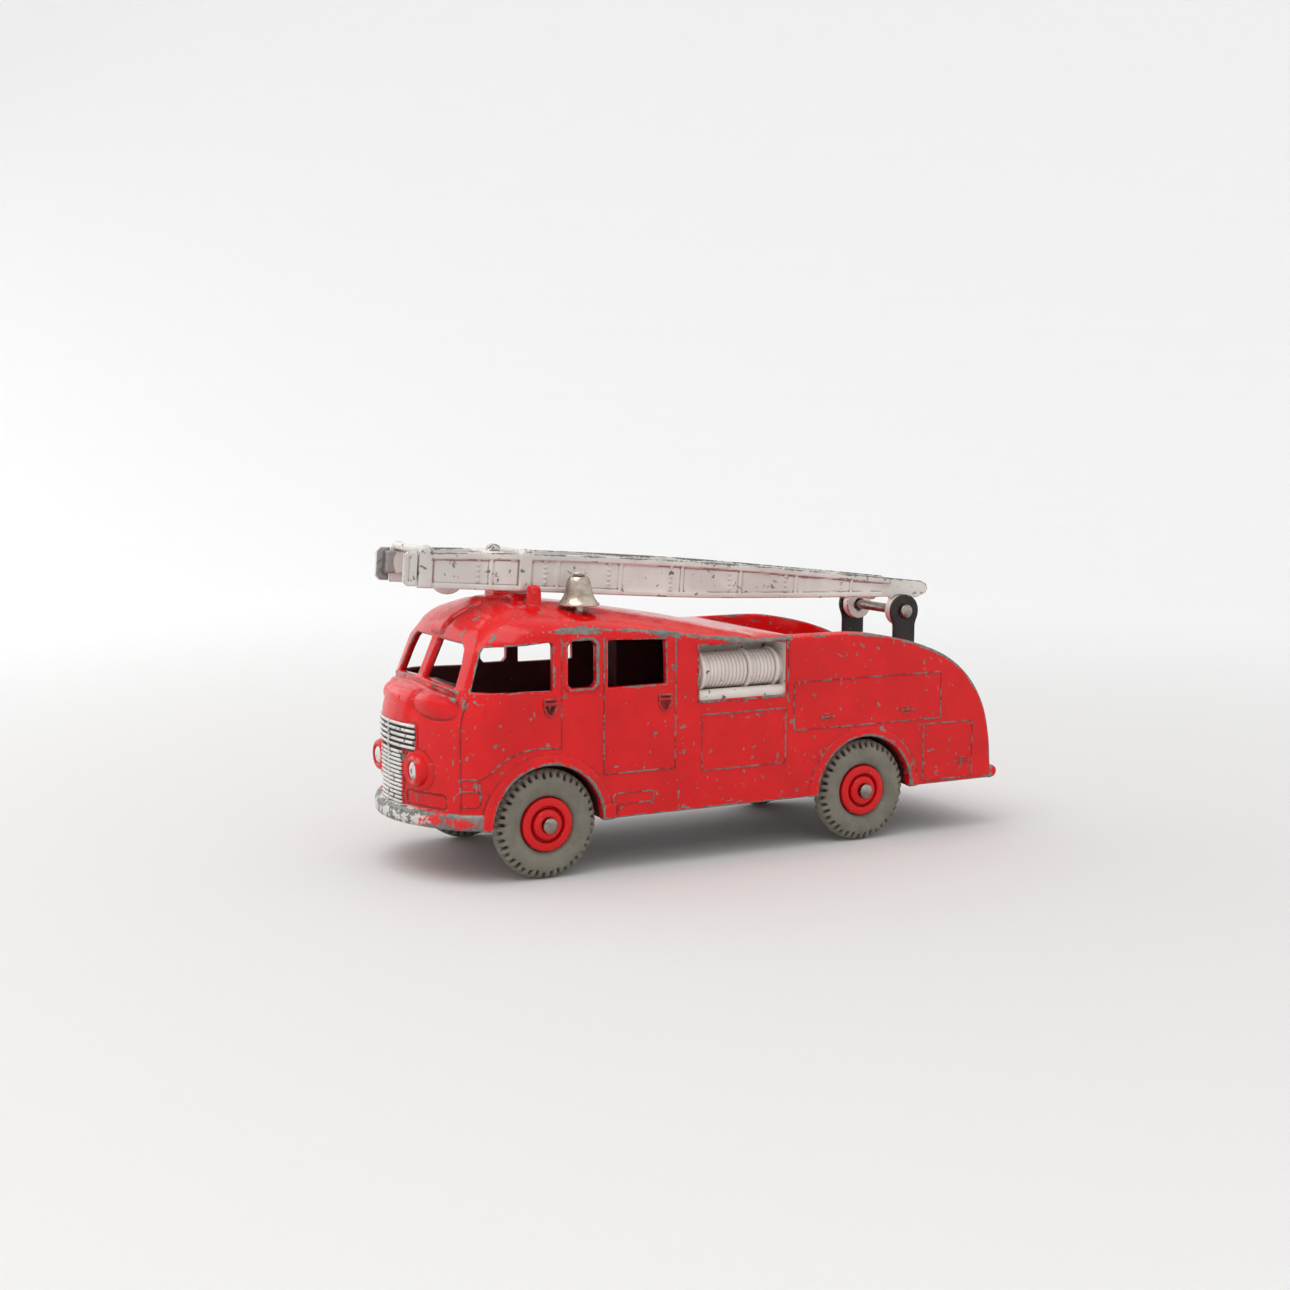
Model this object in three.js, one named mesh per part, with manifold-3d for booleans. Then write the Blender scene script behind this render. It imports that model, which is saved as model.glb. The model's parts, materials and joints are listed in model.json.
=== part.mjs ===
// A die-cast toy fire engine with an elevating, extending ladder.
//
// Millimetres, +X to the front, +Y to the left side, +Z up. The origin is on the ground,
// below the middle of the vehicle. The bumper and the rear step set the overall length.

import * as THREE from 'three';
import { mergeVertices } from 'three/addons/utils/BufferGeometryUtils.js';
import Module from 'manifold-3d';

const wasm = await Module();
wasm.setup();

// ---- driving dimensions ----------------------------------------------------------------

const LENGTH = 139;
const GAP = 0.35;                 // clearance between neighbouring pieces
const WALL = 1.6;                 // wall of the die casting

const BODY = {
  halfWidth: 22.8,
  sill: 11,
  noseX: 67.3,                    // front panel at the centre line
  creaseY: 19.4,                  // where the front panel turns into the side
  bow: 0.018,                     // curvature of the front panel in plan
  roofPower: 2.2,
};

const WHEEL = { frontX: 42.8, rearX: -33.0, radius: 11.1, outerY: 22.7, width: 4.6 };
const ARCH = { radius: 12, lip: 1.3, proud: 0.4, tubWall: 1.2, tubEndY: 15, sides: 32 };
const AXLE = { radius: 1.15, headRadius: 1.6, endY: 24.3 };
const HUB = { radius: 5.4, boss: 3.1, bore: AXLE.radius + GAP };

const DECK = { z: 39, halfWidth: 19.4, frontX: -36, rearX: -58 };
const REEL = {
  x0: -12.5, x1: 8.4, z0: 33.8, z1: 45, backY: 13.6,
  y: 18, z: 39.3, drum: 3.8, flange: 4.3, guideY: 20.6, guide: 1.4,
};
const BUMPER = { z0: 11, z1: 14.5, bow: 0.021, sideY: 23.2, depth: 3 };
const LAMP = { y: 9.95, z: 22, x: 66.9, radius: 3.3, front: 2.9, rootX: 62.5 };
const GRILLE = { wideY: 9.9, narrowY: 5.6, top: 31.2, step: 25.7, proud: 0.5 };
const POST = { x: 40.4, y: 10.6, radius: 1.35, top: 58 };
const SADDLE = { rearX: 37, frontX: 43.6, footY: 9.4, seatY: 6.2, rootZ: 51, seatZ: 55.75 };
const SPINE = { rearX: 44, frontX: 62, halfWidth: 3.2, rootZ: 48.4, proud: 0.5 };
const STEP_RADIUS = 1.4;          // rounded step across the tail

const BASE = { z: 12.9, thickness: 0.6, rearX: -62, frontX: 57, halfWidth: 20.8, waist: 14.6 };
const BASE_RIVETS = { base_rivet_front: -6, base_rivet_rear: -56.5 };
const RIVET = { shank: 1.0, head: 2.2, headHeight: 0.8, hole: 1.35, boss: 2.5 };

const BELL = { x: 31.8, y: 13.6, z: 53.8, height: 6.0, rim: 4.35, crown: 2.1, wall: 0.7 };

const PIVOT = { x: -51.8, z: 48.5, pin: 1.05, head: 1.65 };
const BRACKET = { armY: 9.7, thickness: 0.9, halfWidth: 2.9, head: 3.75 };
const LADDER = {
  pitch: 3.9 * Math.PI / 180,     // stowed ladder rises towards the front
  outerY: 8.2,
  plate: 0.8,
  flange: 0.35,
  rung: 0.55,
  rungStep: 7.25,
  front: 116.6,
};
const EXTENSION = { outerY: 7.0, plate: 0.8, rear: 28, bottom: 3.5, top: 8.0, tip: 119.7 };

// ---- materials --------------------------------------------------------------------------

const paint = {
  red: new THREE.MeshStandardMaterial({ color: 0xd0282c, roughness: 0.3, metalness: 0.1 }),
  silver: new THREE.MeshStandardMaterial({ color: 0xc8c0b9, roughness: 0.45, metalness: 0.5 }),
  rubber: new THREE.MeshStandardMaterial({ color: 0x76725f, roughness: 0.85, metalness: 0 }),
  black: new THREE.MeshStandardMaterial({ color: 0x33302d, roughness: 0.45, metalness: 0.4 }),
  steel: new THREE.MeshStandardMaterial({ color: 0x9a948a, roughness: 0.35, metalness: 0.9 }),
  nickel: new THREE.MeshStandardMaterial({ color: 0xb5a888, roughness: 0.3, metalness: 0.9 }),
};

// ---- solids: geometry to manifold and back ------------------------------------------------

function solid(geometry) {
  const bare = new THREE.BufferGeometry();
  bare.setAttribute('position', geometry.getAttribute('position').clone());
  if (geometry.index) bare.setIndex(geometry.index.clone());
  const merged = mergeVertices(bare, 1e-4);
  const index = merged.index.array;
  const kept = [];
  for (let i = 0; i < index.length; i += 3) {
    const [a, b, c] = [index[i], index[i + 1], index[i + 2]];
    if (a !== b && b !== c && c !== a) kept.push(a, b, c);
  }
  const vertProperties = new Float32Array(merged.getAttribute('position').array);
  let result = new wasm.Manifold(new wasm.Mesh({ numProp: 3, vertProperties, triVerts: new Uint32Array(kept) }));
  if (result.volume() < 0) {
    const turned = new Uint32Array(kept.length);
    for (let i = 0; i < kept.length; i += 3) turned.set([kept[i], kept[i + 2], kept[i + 1]], i);
    result = new wasm.Manifold(new wasm.Mesh({ numProp: 3, vertProperties, triVerts: turned }));
  }
  return result;
}

function geometryOf(manifold) {
  const mesh = manifold.getMesh();
  const geometry = new THREE.BufferGeometry();
  geometry.setAttribute('position', new THREE.BufferAttribute(new Float32Array(mesh.vertProperties), 3));
  geometry.setIndex(new THREE.BufferAttribute(new Uint32Array(mesh.triVerts), 1));
  geometry.computeVertexNormals();
  return geometry;
}

function joined(solids) {
  return solids.reduce((all, next) => all.add(next));
}

function outline(points) {
  return new THREE.Shape(points.map(([x, y]) => new THREE.Vector2(x, y)));
}

function extruded(shape, depth, curveSegments = 10) {
  return new THREE.ExtrudeGeometry(shape, { depth, bevelEnabled: false, curveSegments });
}

// A side outline in X and Z, made solid between two values of Y.
function sideSolid(shape, y0, y1) {
  const geometry = extruded(shape, y1 - y0);
  geometry.rotateX(Math.PI / 2);
  geometry.translate(0, y1, 0);
  return solid(geometry);
}

// A plan outline in X and Y, made solid between two values of Z.
function planSolid(shape, z0, z1) {
  const geometry = extruded(shape, z1 - z0);
  geometry.translate(0, 0, z0);
  return solid(geometry);
}

// A front outline in Y and Z, made solid between two values of X.
function frontSolid(shape, x0, x1) {
  const geometry = extruded(shape, x1 - x0);
  const axes = new THREE.Matrix4().makeBasis(
    new THREE.Vector3(0, 1, 0),
    new THREE.Vector3(0, 0, 1),
    new THREE.Vector3(1, 0, 0),
  );
  geometry.applyMatrix4(axes);
  geometry.translate(x0, 0, 0);
  return solid(geometry);
}

function box(x0, x1, y0, y1, z0, z1) {
  const geometry = new THREE.BoxGeometry(x1 - x0, y1 - y0, z1 - z0);
  geometry.translate((x0 + x1) / 2, (y0 + y1) / 2, (z0 + z1) / 2);
  return solid(geometry);
}

function rodY(x, z, radius, y0, y1, sides = 16) {
  const geometry = new THREE.CylinderGeometry(radius, radius, y1 - y0, sides);
  geometry.translate(x, (y0 + y1) / 2, z);
  return solid(geometry);
}

function rodX(y, z, radius, x0, x1, endRadius = radius, sides = 16) {
  const geometry = new THREE.CylinderGeometry(radius, endRadius, x1 - x0, sides);
  geometry.rotateZ(Math.PI / 2);
  geometry.translate((x0 + x1) / 2, y, z);
  return solid(geometry);
}

function rodZ(x, y, radius, z0, z1, sides = 16) {
  const geometry = new THREE.CylinderGeometry(radius, radius, z1 - z0, sides);
  geometry.rotateX(Math.PI / 2);
  geometry.translate(x, y, (z0 + z1) / 2);
  return solid(geometry);
}

// A turned piece on the Z axis; each point of its profile is a radius and a height.
function turned(profile, sides) {
  const points = profile.map(([r, z]) => new THREE.Vector2(r, z));
  const geometry = new THREE.LatheGeometry(points, sides);
  geometry.rotateX(Math.PI / 2);
  return solid(geometry);
}

function bothSides(make) {
  return joined([make(1), make(-1)]);
}

// A band of Y on the left side for side = 1, and its mirror image for side = -1.
function band(side, near, far) {
  return side > 0 ? [near, far] : [-far, -near];
}

// ---- body form ----------------------------------------------------------------------------

// Height of the gutter and of the crown of the roof along the vehicle.
const gutterLine = new THREE.SplineCurve([
  [70, 47.6], [56, 48.6], [46, 49.3], [30, 49.1], [20, 48.4], [10, 47.1], [0, 46.0], [-12, 45.6], [-72, 46.6],
].map(([x, z]) => new THREE.Vector2(x, z)));

const crownLine = new THREE.SplineCurve([
  [70, 54.6], [56, 54.6], [41, 54.5], [30, 53.5], [18, 51.6], [6, 49.6], [-4, 47.6], [-14, 46.6], [-72, 47.4],
].map(([x, z]) => new THREE.Vector2(x, z)));

// Upper edge of the side walls from the deck to the rounded tail.
const tailLine = new THREE.SplineCurve([
  [-10, 47.2], [-20, 46.6], [-29, 46.2], [-38, 44.9], [-47, 42.7], [-55, 39.4],
  [-61, 34.6], [-65.2, 28], [-67.2, 20], [-67.8, 11],
].map(([x, z]) => new THREE.Vector2(x, z)));

// Nose and windscreen: height, furthest X on the centre line, bow in plan, where the
// rounded corner begins and how far back it runs.
const FRONT_LEVELS = [
  [0, BODY.noseX, BODY.bow, BODY.creaseY, 7],
  [31, BODY.noseX, BODY.bow, BODY.creaseY, 7],
  [33.5, BODY.noseX - 0.3, BODY.bow, BODY.creaseY, 7],
  [36, BODY.noseX - 1.1, BODY.bow, BODY.creaseY, 7],
  [37.4, BODY.noseX - 2.6, 0.016, BODY.creaseY, 7],
  [38.2, 61.6, 0.007, 18.6, 7],
  [46, 58.2, 0.006, 17.6, 8],
  [48, 57.4, 0.008, 16, 9],
  [49.8, 56.6, 0.01, 14, 11],
  [51.4, 54.6, 0.011, 12.5, 13],
  [52.6, 52.2, 0.012, 11, 14],
  [53.6, 49.6, 0.012, 10, 14],
  [60, 44, 0.012, 10, 14],
];

function heightAt(curve, x, samples = 200) {
  let best = curve.getPoint(0);
  for (let i = 1; i <= samples; i += 1) {
    const point = curve.getPoint(i / samples);
    if (Math.abs(point.x - x) < Math.abs(best.x - x)) best = point;
  }
  return best.y;
}

// Joins closed rings of equal length into one solid, with a flat cap at both ends.
function loft(rings) {
  const count = rings[0].length;
  const positions = [];
  const triangles = [];
  rings.forEach((ring) => ring.forEach((point) => positions.push(point.x, point.y, point.z)));
  for (let r = 0; r + 1 < rings.length; r += 1) {
    for (let i = 0; i < count; i += 1) {
      const a = r * count + i;
      const b = r * count + (i + 1) % count;
      triangles.push(a, b, b + count, a, b + count, a + count);
    }
  }
  const last = (rings.length - 1) * count;
  for (let i = 1; i + 1 < count; i += 1) {
    triangles.push(0, i + 1, i);
    triangles.push(last, last + i, last + i + 1);
  }
  const geometry = new THREE.BufferGeometry();
  geometry.setAttribute('position', new THREE.Float32BufferAttribute(positions, 3));
  geometry.setIndex(triangles);
  return solid(geometry);
}

// The arched roof and straight sides, lofted along X.
function roofForm(grow) {
  const stations = [72, 58, 50, 44, 38, 32, 27, 22, 17, 12, 7, 2, -3, -8, -13, -20, -72];
  const steps = 7;
  const rings = stations.map((x) => {
    const width = BODY.halfWidth + grow;
    const gutter = heightAt(gutterLine, x) + grow;
    const crown = heightAt(crownLine, x) + grow;
    const ring = [new THREE.Vector3(x, -width, 0), new THREE.Vector3(x, width, 0)];
    for (let i = -steps; i <= steps; i += 1) {
      const angle = (Math.PI / 2) * (i / steps);
      const across = -Math.sign(angle) * Math.abs(Math.sin(angle)) ** (2 / BODY.roofPower);
      const up = Math.cos(angle) ** (2 / BODY.roofPower);
      ring.push(new THREE.Vector3(x, width * across, gutter + (crown - gutter) * up));
    }
    return ring;
  });
  return loft(rings);
}

// The bowed front panel, the bonnet and the raked windscreen, lofted upwards.
function frontForm(grow) {
  const side = BODY.halfWidth + grow;
  const rings = FRONT_LEVELS.map(([z, front, bow, corner, run]) => {
    const x = front + grow;
    const crease = corner + grow * 0.5;
    const half = [];
    for (let i = 0; i <= 5; i += 1) {
      const y = crease * (i / 5);
      half.push([x - bow * y * y, y]);
    }
    const creaseX = x - bow * crease * crease;
    half.push([creaseX - run * 0.16, crease + (side - crease) * 0.42]);
    half.push([creaseX - run * 0.42, crease + (side - crease) * 0.76]);
    half.push([creaseX - run, side]);
    half.push([creaseX - run - 4, side + 1]);
    half.push([-72, side + 1]);
    const mirrored = half.slice(1).reverse().map(([px, py]) => [px, -py]);
    return [...mirrored, ...half].map(([px, py]) => new THREE.Vector3(px, py, z + grow));
  });
  return loft(rings);
}

// The side outline that limits the deck walls and the tail.
function tailForm(grow) {
  const curve = tailLine.getPoints(30).map((point) => [point.x - grow, point.y + grow]);
  const points = [[72, -1], [72, 70], [-10 - grow, 70], ...curve, [-67.8 - grow, -1]];
  return sideSolid(outline(points), -30, 30);
}

function outerForm(grow = 0) {
  return roofForm(grow).intersect(frontForm(grow)).intersect(tailForm(grow));
}

// The sunken deck between the side walls: its floor ramps down from the roof.
function deckWell(grow) {
  const floor = [[-8, 47.3], [-15, 45.9], [-21, 44.2], [-26, 42.2], [-31, 40.2], [DECK.frontX, DECK.z]];
  const points = [
    [-8 + grow, 60],
    ...floor.map(([x, z]) => [x + grow, z - grow]),
    [DECK.rearX, DECK.z - grow],
    [DECK.rearX, 60],
  ];
  return sideSolid(outline(points), -DECK.halfWidth - grow, DECK.halfWidth + grow);
}

// ---- openings in the body -----------------------------------------------------------------

function sideWindows() {
  const frontDoor = outline([[58.4, 38.8], [55.2, 46.6], [54.2, 47.2], [42, 47.6], [41.8, 38.4]]);
  const middle = outline([
    [33.4, 38.2], [37.6, 38.2], [38.6, 39.4], [38.6, 46.6], [37.8, 47.6], [33.2, 47.6], [32.3, 46.6], [32.3, 39.3],
  ]);
  const rearDoor = outline([[16.3, 37.9], [29.6, 37.9], [29.6, 47.4], [16.6, 46.9]]);
  return joined([frontDoor, middle, rearDoor].map((shape) => sideSolid(shape, -26, 26)));
}

function windscreen() {
  return bothSides((side) => {
    const pane = outline([
      [side * 1.5, 39.4], [side * 15.3, 38.6], [side * 13.6, 45.9], [side * 12.4, 46.9], [side * 1.7, 47.1],
    ]);
    return frontSolid(pane, 50, 72);
  });
}

function wheelArch(x, side) {
  const [y0, y1] = band(side, ARCH.tubEndY + ARCH.tubWall, 30);
  const round = rodY(x, WHEEL.radius, ARCH.radius, y0, y1, ARCH.sides);
  return round.add(box(x - ARCH.radius, x + ARCH.radius, y0, y1, -2, WHEEL.radius));
}

// ---- features added to the body -------------------------------------------------------------

function archLip(x, side) {
  const [y0, y1] = band(side, BODY.halfWidth - 1, BODY.halfWidth + ARCH.proud);
  const disc = rodY(x, WHEEL.radius, ARCH.radius + ARCH.lip, y0, y1, ARCH.sides);
  return disc.intersect(box(x - 20, x + 20, y0, y1, BODY.sill, 40));
}

// A cast housing round the wheel, whose end wall carries the axle.
function wheelTub(x, side) {
  const [y0, y1] = band(side, ARCH.tubEndY, BODY.halfWidth - 0.4);
  const shell = rodY(x, WHEEL.radius, ARCH.radius + ARCH.tubWall, y0, y1, ARCH.sides);
  const [e0, e1] = band(side, ARCH.tubEndY, ARCH.tubEndY + ARCH.tubWall);
  const upper = shell.intersect(box(x - 20, x + 20, y0, y1, BODY.sill, 40));
  const lug = rodY(x, WHEEL.radius, AXLE.radius + 1.5, e0, e1);
  return upper.add(lug);
}

function bumper() {
  const front = LENGTH / 2;
  const outer = [];
  for (let i = -8; i <= 8; i += 1) {
    const y = 20 * (i / 8);
    outer.push([front - BUMPER.bow * y * y, y]);
  }
  const ends = [[57, BUMPER.sideY - 0.6], [52, BUMPER.sideY]];
  const points = [
    ...[...ends].reverse().map(([x, y]) => [x, -y]),
    ...outer,
    ...ends,
    [52, 17],
    [60, 15],
    [front - BUMPER.depth - 3, 0],
    [60, -15],
    [52, -17],
  ];
  return planSolid(outline(points), BUMPER.z0, BUMPER.z1);
}

function grille() {
  const shape = outline([
    [-GRILLE.narrowY, BUMPER.z1 - 1], [GRILLE.narrowY, BUMPER.z1 - 1], [GRILLE.narrowY, GRILLE.step],
    [GRILLE.wideY, GRILLE.step], [GRILLE.wideY, GRILLE.top], [-GRILLE.wideY, GRILLE.top],
    [-GRILLE.wideY, GRILLE.step], [-GRILLE.narrowY, GRILLE.step],
  ]);
  return frontForm(GRILLE.proud).intersect(frontSolid(shape, 60, 70));
}

function headlamps() {
  return bothSides((side) => rodX(side * LAMP.y, LAMP.z, LAMP.radius, LAMP.rootX, LAMP.x, LAMP.front));
}

// A hose reel cast in one with its open-fronted locker.
function reelLocker(side) {
  const [y0, y1] = band(side, REEL.backY - WALL, BODY.halfWidth - 0.2);
  return box(REEL.x0 - WALL, REEL.x1 + WALL, y0, y1, REEL.z0 - WALL, REEL.z1 + 0.3);
}

function reelOpening(side) {
  const [y0, y1] = band(side, REEL.backY, 26);
  return box(REEL.x0, REEL.x1, y0, y1, REEL.z0, REEL.z1);
}

function reelDrum(side) {
  const drum = rodX(side * REEL.y, REEL.z, REEL.drum, REEL.x0 - 0.5, REEL.x1 + 0.5);
  const nearFlange = rodX(side * REEL.y, REEL.z, REEL.flange, REEL.x1 - 1.8, REEL.x1 - 0.8);
  const farFlange = rodX(side * REEL.y, REEL.z, REEL.flange, REEL.x0 + 1.2, REEL.x0 + 2.2);
  const guide = rodX(side * REEL.guideY, REEL.z0 + 0.6, REEL.guide, REEL.x0 - 0.5, REEL.x1 + 0.5);
  return joined([drum, nearFlange, farFlange, guide]);
}

function ladderPosts() {
  return bothSides((side) => {
    const post = rodZ(POST.x, side * POST.y, POST.radius, 51, POST.top - 0.6);
    const cap = rodZ(POST.x, side * POST.y, POST.radius - 0.4, POST.top - 1, POST.top);
    return post.add(cap);
  });
}

// The block on the roof that the stowed ladder rests on.
function ladderSaddle() {
  const { rearX, frontX, footY, seatY, rootZ, seatZ } = SADDLE;
  const wedge = outline([[-footY, rootZ], [footY, rootZ], [seatY, seatZ + 1.2], [-seatY, seatZ + 1.2]]);
  const rise = Math.tan(LADDER.pitch) * (frontX - rearX);
  const seat = outline([[rearX - 1, rootZ - 1], [frontX + 1, rootZ - 1], [frontX, seatZ + rise], [rearX, seatZ]]);
  return frontSolid(wedge, rearX, frontX).intersect(sideSolid(seat, -footY - 1, footY + 1));
}

function roofSpine() {
  const { rearX, frontX, halfWidth, rootZ, proud } = SPINE;
  return outerForm(proud).intersect(box(rearX, frontX, -halfWidth, halfWidth, rootZ, 60));
}

function rearStep() {
  const rearmost = -LENGTH / 2;
  return rodY(rearmost + STEP_RADIUS, BODY.sill + STEP_RADIUS, STEP_RADIUS, -BODY.halfWidth, BODY.halfWidth);
}

function rivetBosses() {
  return Object.values(BASE_RIVETS).map((x) => {
    const roof = x > DECK.frontX ? 46 : 36;
    return rodZ(x, 0, RIVET.boss, BASE.z + BASE.thickness + GAP, roof, 12);
  });
}

function rivetHoles() {
  return Object.values(BASE_RIVETS).map((x) => rodZ(x, 0, RIVET.hole, 0, 18));
}

function bodyCasting() {
  const wheels = [WHEEL.frontX, WHEEL.rearX].flatMap((x) => [[x, 1], [x, -1]]);
  const inside = BODY.halfWidth - WALL;
  const mouth = box(-60, 52, -inside, inside, -1, BODY.sill + 1);
  const cavity = outerForm(-WALL).subtract(deckWell(WALL)).add(mouth);
  const aboveSill = box(-80, 80, -30, 30, BODY.sill, 80);
  const shell = outerForm().intersect(aboveSill).subtract(cavity);
  const lockers = bothSides(reelLocker).intersect(outerForm(-0.2));
  const added = [
    ...wheels.map(([x, side]) => wheelTub(x, side)),
    ...wheels.map(([x, side]) => archLip(x, side)),
    ...rivetBosses(),
    bumper(),
    grille(),
    headlamps(),
    lockers,
    ladderPosts(),
    ladderSaddle(),
    roofSpine(),
    rearStep(),
  ];
  const removed = [
    sideWindows(),
    windscreen(),
    ...wheels.map(([x, side]) => wheelArch(x, side)),
    ...rivetHoles(),
    ...[WHEEL.frontX, WHEEL.rearX].map((x) => rodY(x, WHEEL.radius, AXLE.radius + GAP, -17, 17)),
    bothSides(reelOpening),
    rodZ(PIVOT.x, 0, RIVET.hole, 30, DECK.z + 1),
    rodZ(BELL.x, BELL.y, RIVET.hole, 45, 60),
    deckWell(0),
  ];
  const body = joined([shell, ...added]).subtract(joined(removed));
  return body.add(bothSides(reelDrum));
}

// ---- chassis and wheels ---------------------------------------------------------------------

function basePlate() {
  const half = BASE.halfWidth;
  const waist = BASE.waist;
  const clear = ARCH.radius + ARCH.tubWall + GAP;
  const left = [
    [BASE.frontX, waist],
    [WHEEL.frontX - clear, waist],
    [WHEEL.frontX - clear, half],
    [WHEEL.rearX + clear, half],
    [WHEEL.rearX + clear, waist],
    [WHEEL.rearX - clear, waist],
    [WHEEL.rearX - clear, half],
    [BASE.rearX, half],
  ];
  const right = [...left].reverse().map(([x, y]) => [x, -y]);
  const plate = planSolid(outline([...left, ...right]), BASE.z, BASE.z + BASE.thickness);
  const holes = Object.values(BASE_RIVETS).map((x) => rodZ(x, 0, RIVET.hole, 0, 20));
  return plate.subtract(joined(holes));
}

function baseRivet(x) {
  const under = BASE.z - GAP;
  const profile = [
    [0, under - RIVET.headHeight],
    [RIVET.head * 0.6, under - RIVET.headHeight],
    [RIVET.head, under - RIVET.headHeight * 0.4],
    [RIVET.head, under],
    [RIVET.shank, under],
    [RIVET.shank, 17.4],
    [0, 17.4],
  ];
  return turned(profile, 12).translate([x, 0, 0]);
}

function axle(x) {
  const rod = rodY(x, WHEEL.radius, AXLE.radius, -AXLE.endY + 0.4, AXLE.endY - 0.4, 16);
  const ends = bothSides((side) => {
    const [h0, h1] = band(side, AXLE.endY - 1, AXLE.endY - 0.4);
    const [d0, d1] = band(side, AXLE.endY - 0.5, AXLE.endY);
    const head = rodY(x, WHEEL.radius, AXLE.headRadius, h0, h1, 16);
    return head.add(rodY(x, WHEEL.radius, AXLE.headRadius - 0.5, d0, d1, 16));
  });
  return rod.add(ends);
}

// Wheel pieces are turned on a local Z axis that points outwards from the vehicle.
function hub() {
  const inner = WHEEL.outerY - WHEEL.width + 0.3;
  return turned([
    [HUB.bore, inner],
    [HUB.radius, inner],
    [HUB.radius, 22.3],
    [3.9, 22.5],
    [3.8, 21.5],
    [HUB.boss, 21.5],
    [HUB.boss, 22.5],
    [2.2, 22.9],
    [HUB.bore, 22.9],
    [HUB.bore, inner],
  ], 24);
}

function tyre() {
  const bore = HUB.radius + GAP;
  const inner = WHEEL.outerY - WHEEL.width;
  return turned([
    [bore, inner + 0.4],
    [bore + 1.6, inner],
    [WHEEL.radius - 1.9, inner],
    [WHEEL.radius - 0.5, inner + 0.7],
    [WHEEL.radius, inner + 2],
    [WHEEL.radius, WHEEL.outerY - 2],
    [WHEEL.radius - 0.5, WHEEL.outerY - 0.7],
    [WHEEL.radius - 1.9, WHEEL.outerY],
    [bore + 1.8, WHEEL.outerY],
    [bore, WHEEL.outerY - 0.5],
    [bore, inner + 0.4],
  ], 36);
}

function wheelPiece(name, make, material, x, side) {
  const piece = mesh(name, make(), material);
  piece.rotation.x = side > 0 ? -Math.PI / 2 : Math.PI / 2;
  piece.position.set(x, 0, WHEEL.radius);
  return piece;
}

// ---- bell -----------------------------------------------------------------------------------

function bell() {
  const { rim, crown, wall, height } = BELL;
  const top = height;
  return turned([
    [rim, 0],
    [rim - 0.9, 0.9],
    [crown + 0.9, 2.3],
    [crown + 0.5, top - 1.2],
    [crown, top],
    [RIVET.hole, top],
    [RIVET.hole, top - wall],
    [crown - 0.4, top - wall],
    [crown - 0.1, top - 1.4],
    [crown + 0.2, 2.3],
    [rim - 1.5, 0.9],
    [rim - 0.6, 0],
    [rim, 0],
  ], 20).translate([BELL.x, BELL.y, BELL.z]);
}

function bellRivet() {
  const top = BELL.z + BELL.height + GAP;
  return turned([
    [0, 50],
    [RIVET.shank, 50],
    [RIVET.shank, top],
    [1.7, top],
    [1.7, top + 0.3],
    [1.1, top + 0.6],
    [0, top + 0.6],
  ], 12).translate([BELL.x, BELL.y, 0]);
}

// ---- ladder bracket -------------------------------------------------------------------------

function bracketArm(side) {
  const shape = new THREE.Shape();
  shape.moveTo(PIVOT.x - BRACKET.halfWidth, DECK.z + GAP);
  shape.lineTo(PIVOT.x + BRACKET.halfWidth, DECK.z + GAP);
  shape.lineTo(PIVOT.x + BRACKET.halfWidth, PIVOT.z - 3.2);
  shape.absarc(PIVOT.x, PIVOT.z, BRACKET.head, -0.6, Math.PI + 0.6, false);
  shape.lineTo(PIVOT.x - BRACKET.halfWidth, PIVOT.z - 3.2);
  const [y0, y1] = band(side, BRACKET.armY, BRACKET.armY + BRACKET.thickness);
  return sideSolid(shape, y0, y1).subtract(rodY(PIVOT.x, PIVOT.z, PIVOT.pin + GAP, y0 - 1, y1 + 1));
}

function ladderBracket() {
  const reach = BRACKET.armY + BRACKET.thickness;
  const floor = DECK.z + GAP;
  const foot = box(
    PIVOT.x - BRACKET.halfWidth, PIVOT.x + BRACKET.halfWidth, -reach, reach, floor, floor + BRACKET.thickness,
  );
  const hole = rodZ(PIVOT.x, 0, RIVET.hole, DECK.z - 1, DECK.z + 3);
  return foot.subtract(hole).add(bothSides(bracketArm));
}

function bracketRivet() {
  const seat = DECK.z + GAP + BRACKET.thickness + GAP;
  return turned([
    [0, DECK.z - 2.4],
    [RIVET.shank, DECK.z - 2.4],
    [RIVET.shank, seat],
    [RIVET.head, seat],
    [RIVET.head, seat + 0.3],
    [RIVET.head * 0.6, seat + RIVET.headHeight],
    [0, seat + RIVET.headHeight],
  ], 12).translate([PIVOT.x, 0, 0]);
}

function ladderPin() {
  const outside = BRACKET.armY + BRACKET.thickness + GAP;
  const rod = rodY(PIVOT.x, PIVOT.z, PIVOT.pin, -outside - 0.5, outside + 0.5, 16);
  const heads = bothSides((side) => {
    const [y0, y1] = band(side, outside, outside + 0.8);
    return rodY(PIVOT.x, PIVOT.z, PIVOT.head, y0, y1, 16);
  });
  return rod.add(heads);
}

// ---- ladders: drawn along the ladder, with the pivot pin at the origin ------------------------

const ladderTop = new THREE.SplineCurve([
  [LADDER.front, 8.7], [92, 9.35], [53, 9.15], [20, 8.0], [-5.6, 6.9],
].map(([x, z]) => new THREE.Vector2(x, z)));

const ladderBottom = new THREE.SplineCurve([
  [-4.8, 3.0], [6.5, 2.85], [30, 2.0], [55, 1.4], [90, 1.6], [LADDER.front, 1.7],
].map(([x, z]) => new THREE.Vector2(x, z)));

function edgePoints(curve, count, rise = 0) {
  return curve.getPoints(count).map((point) => [point.x, point.y + rise]);
}

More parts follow.
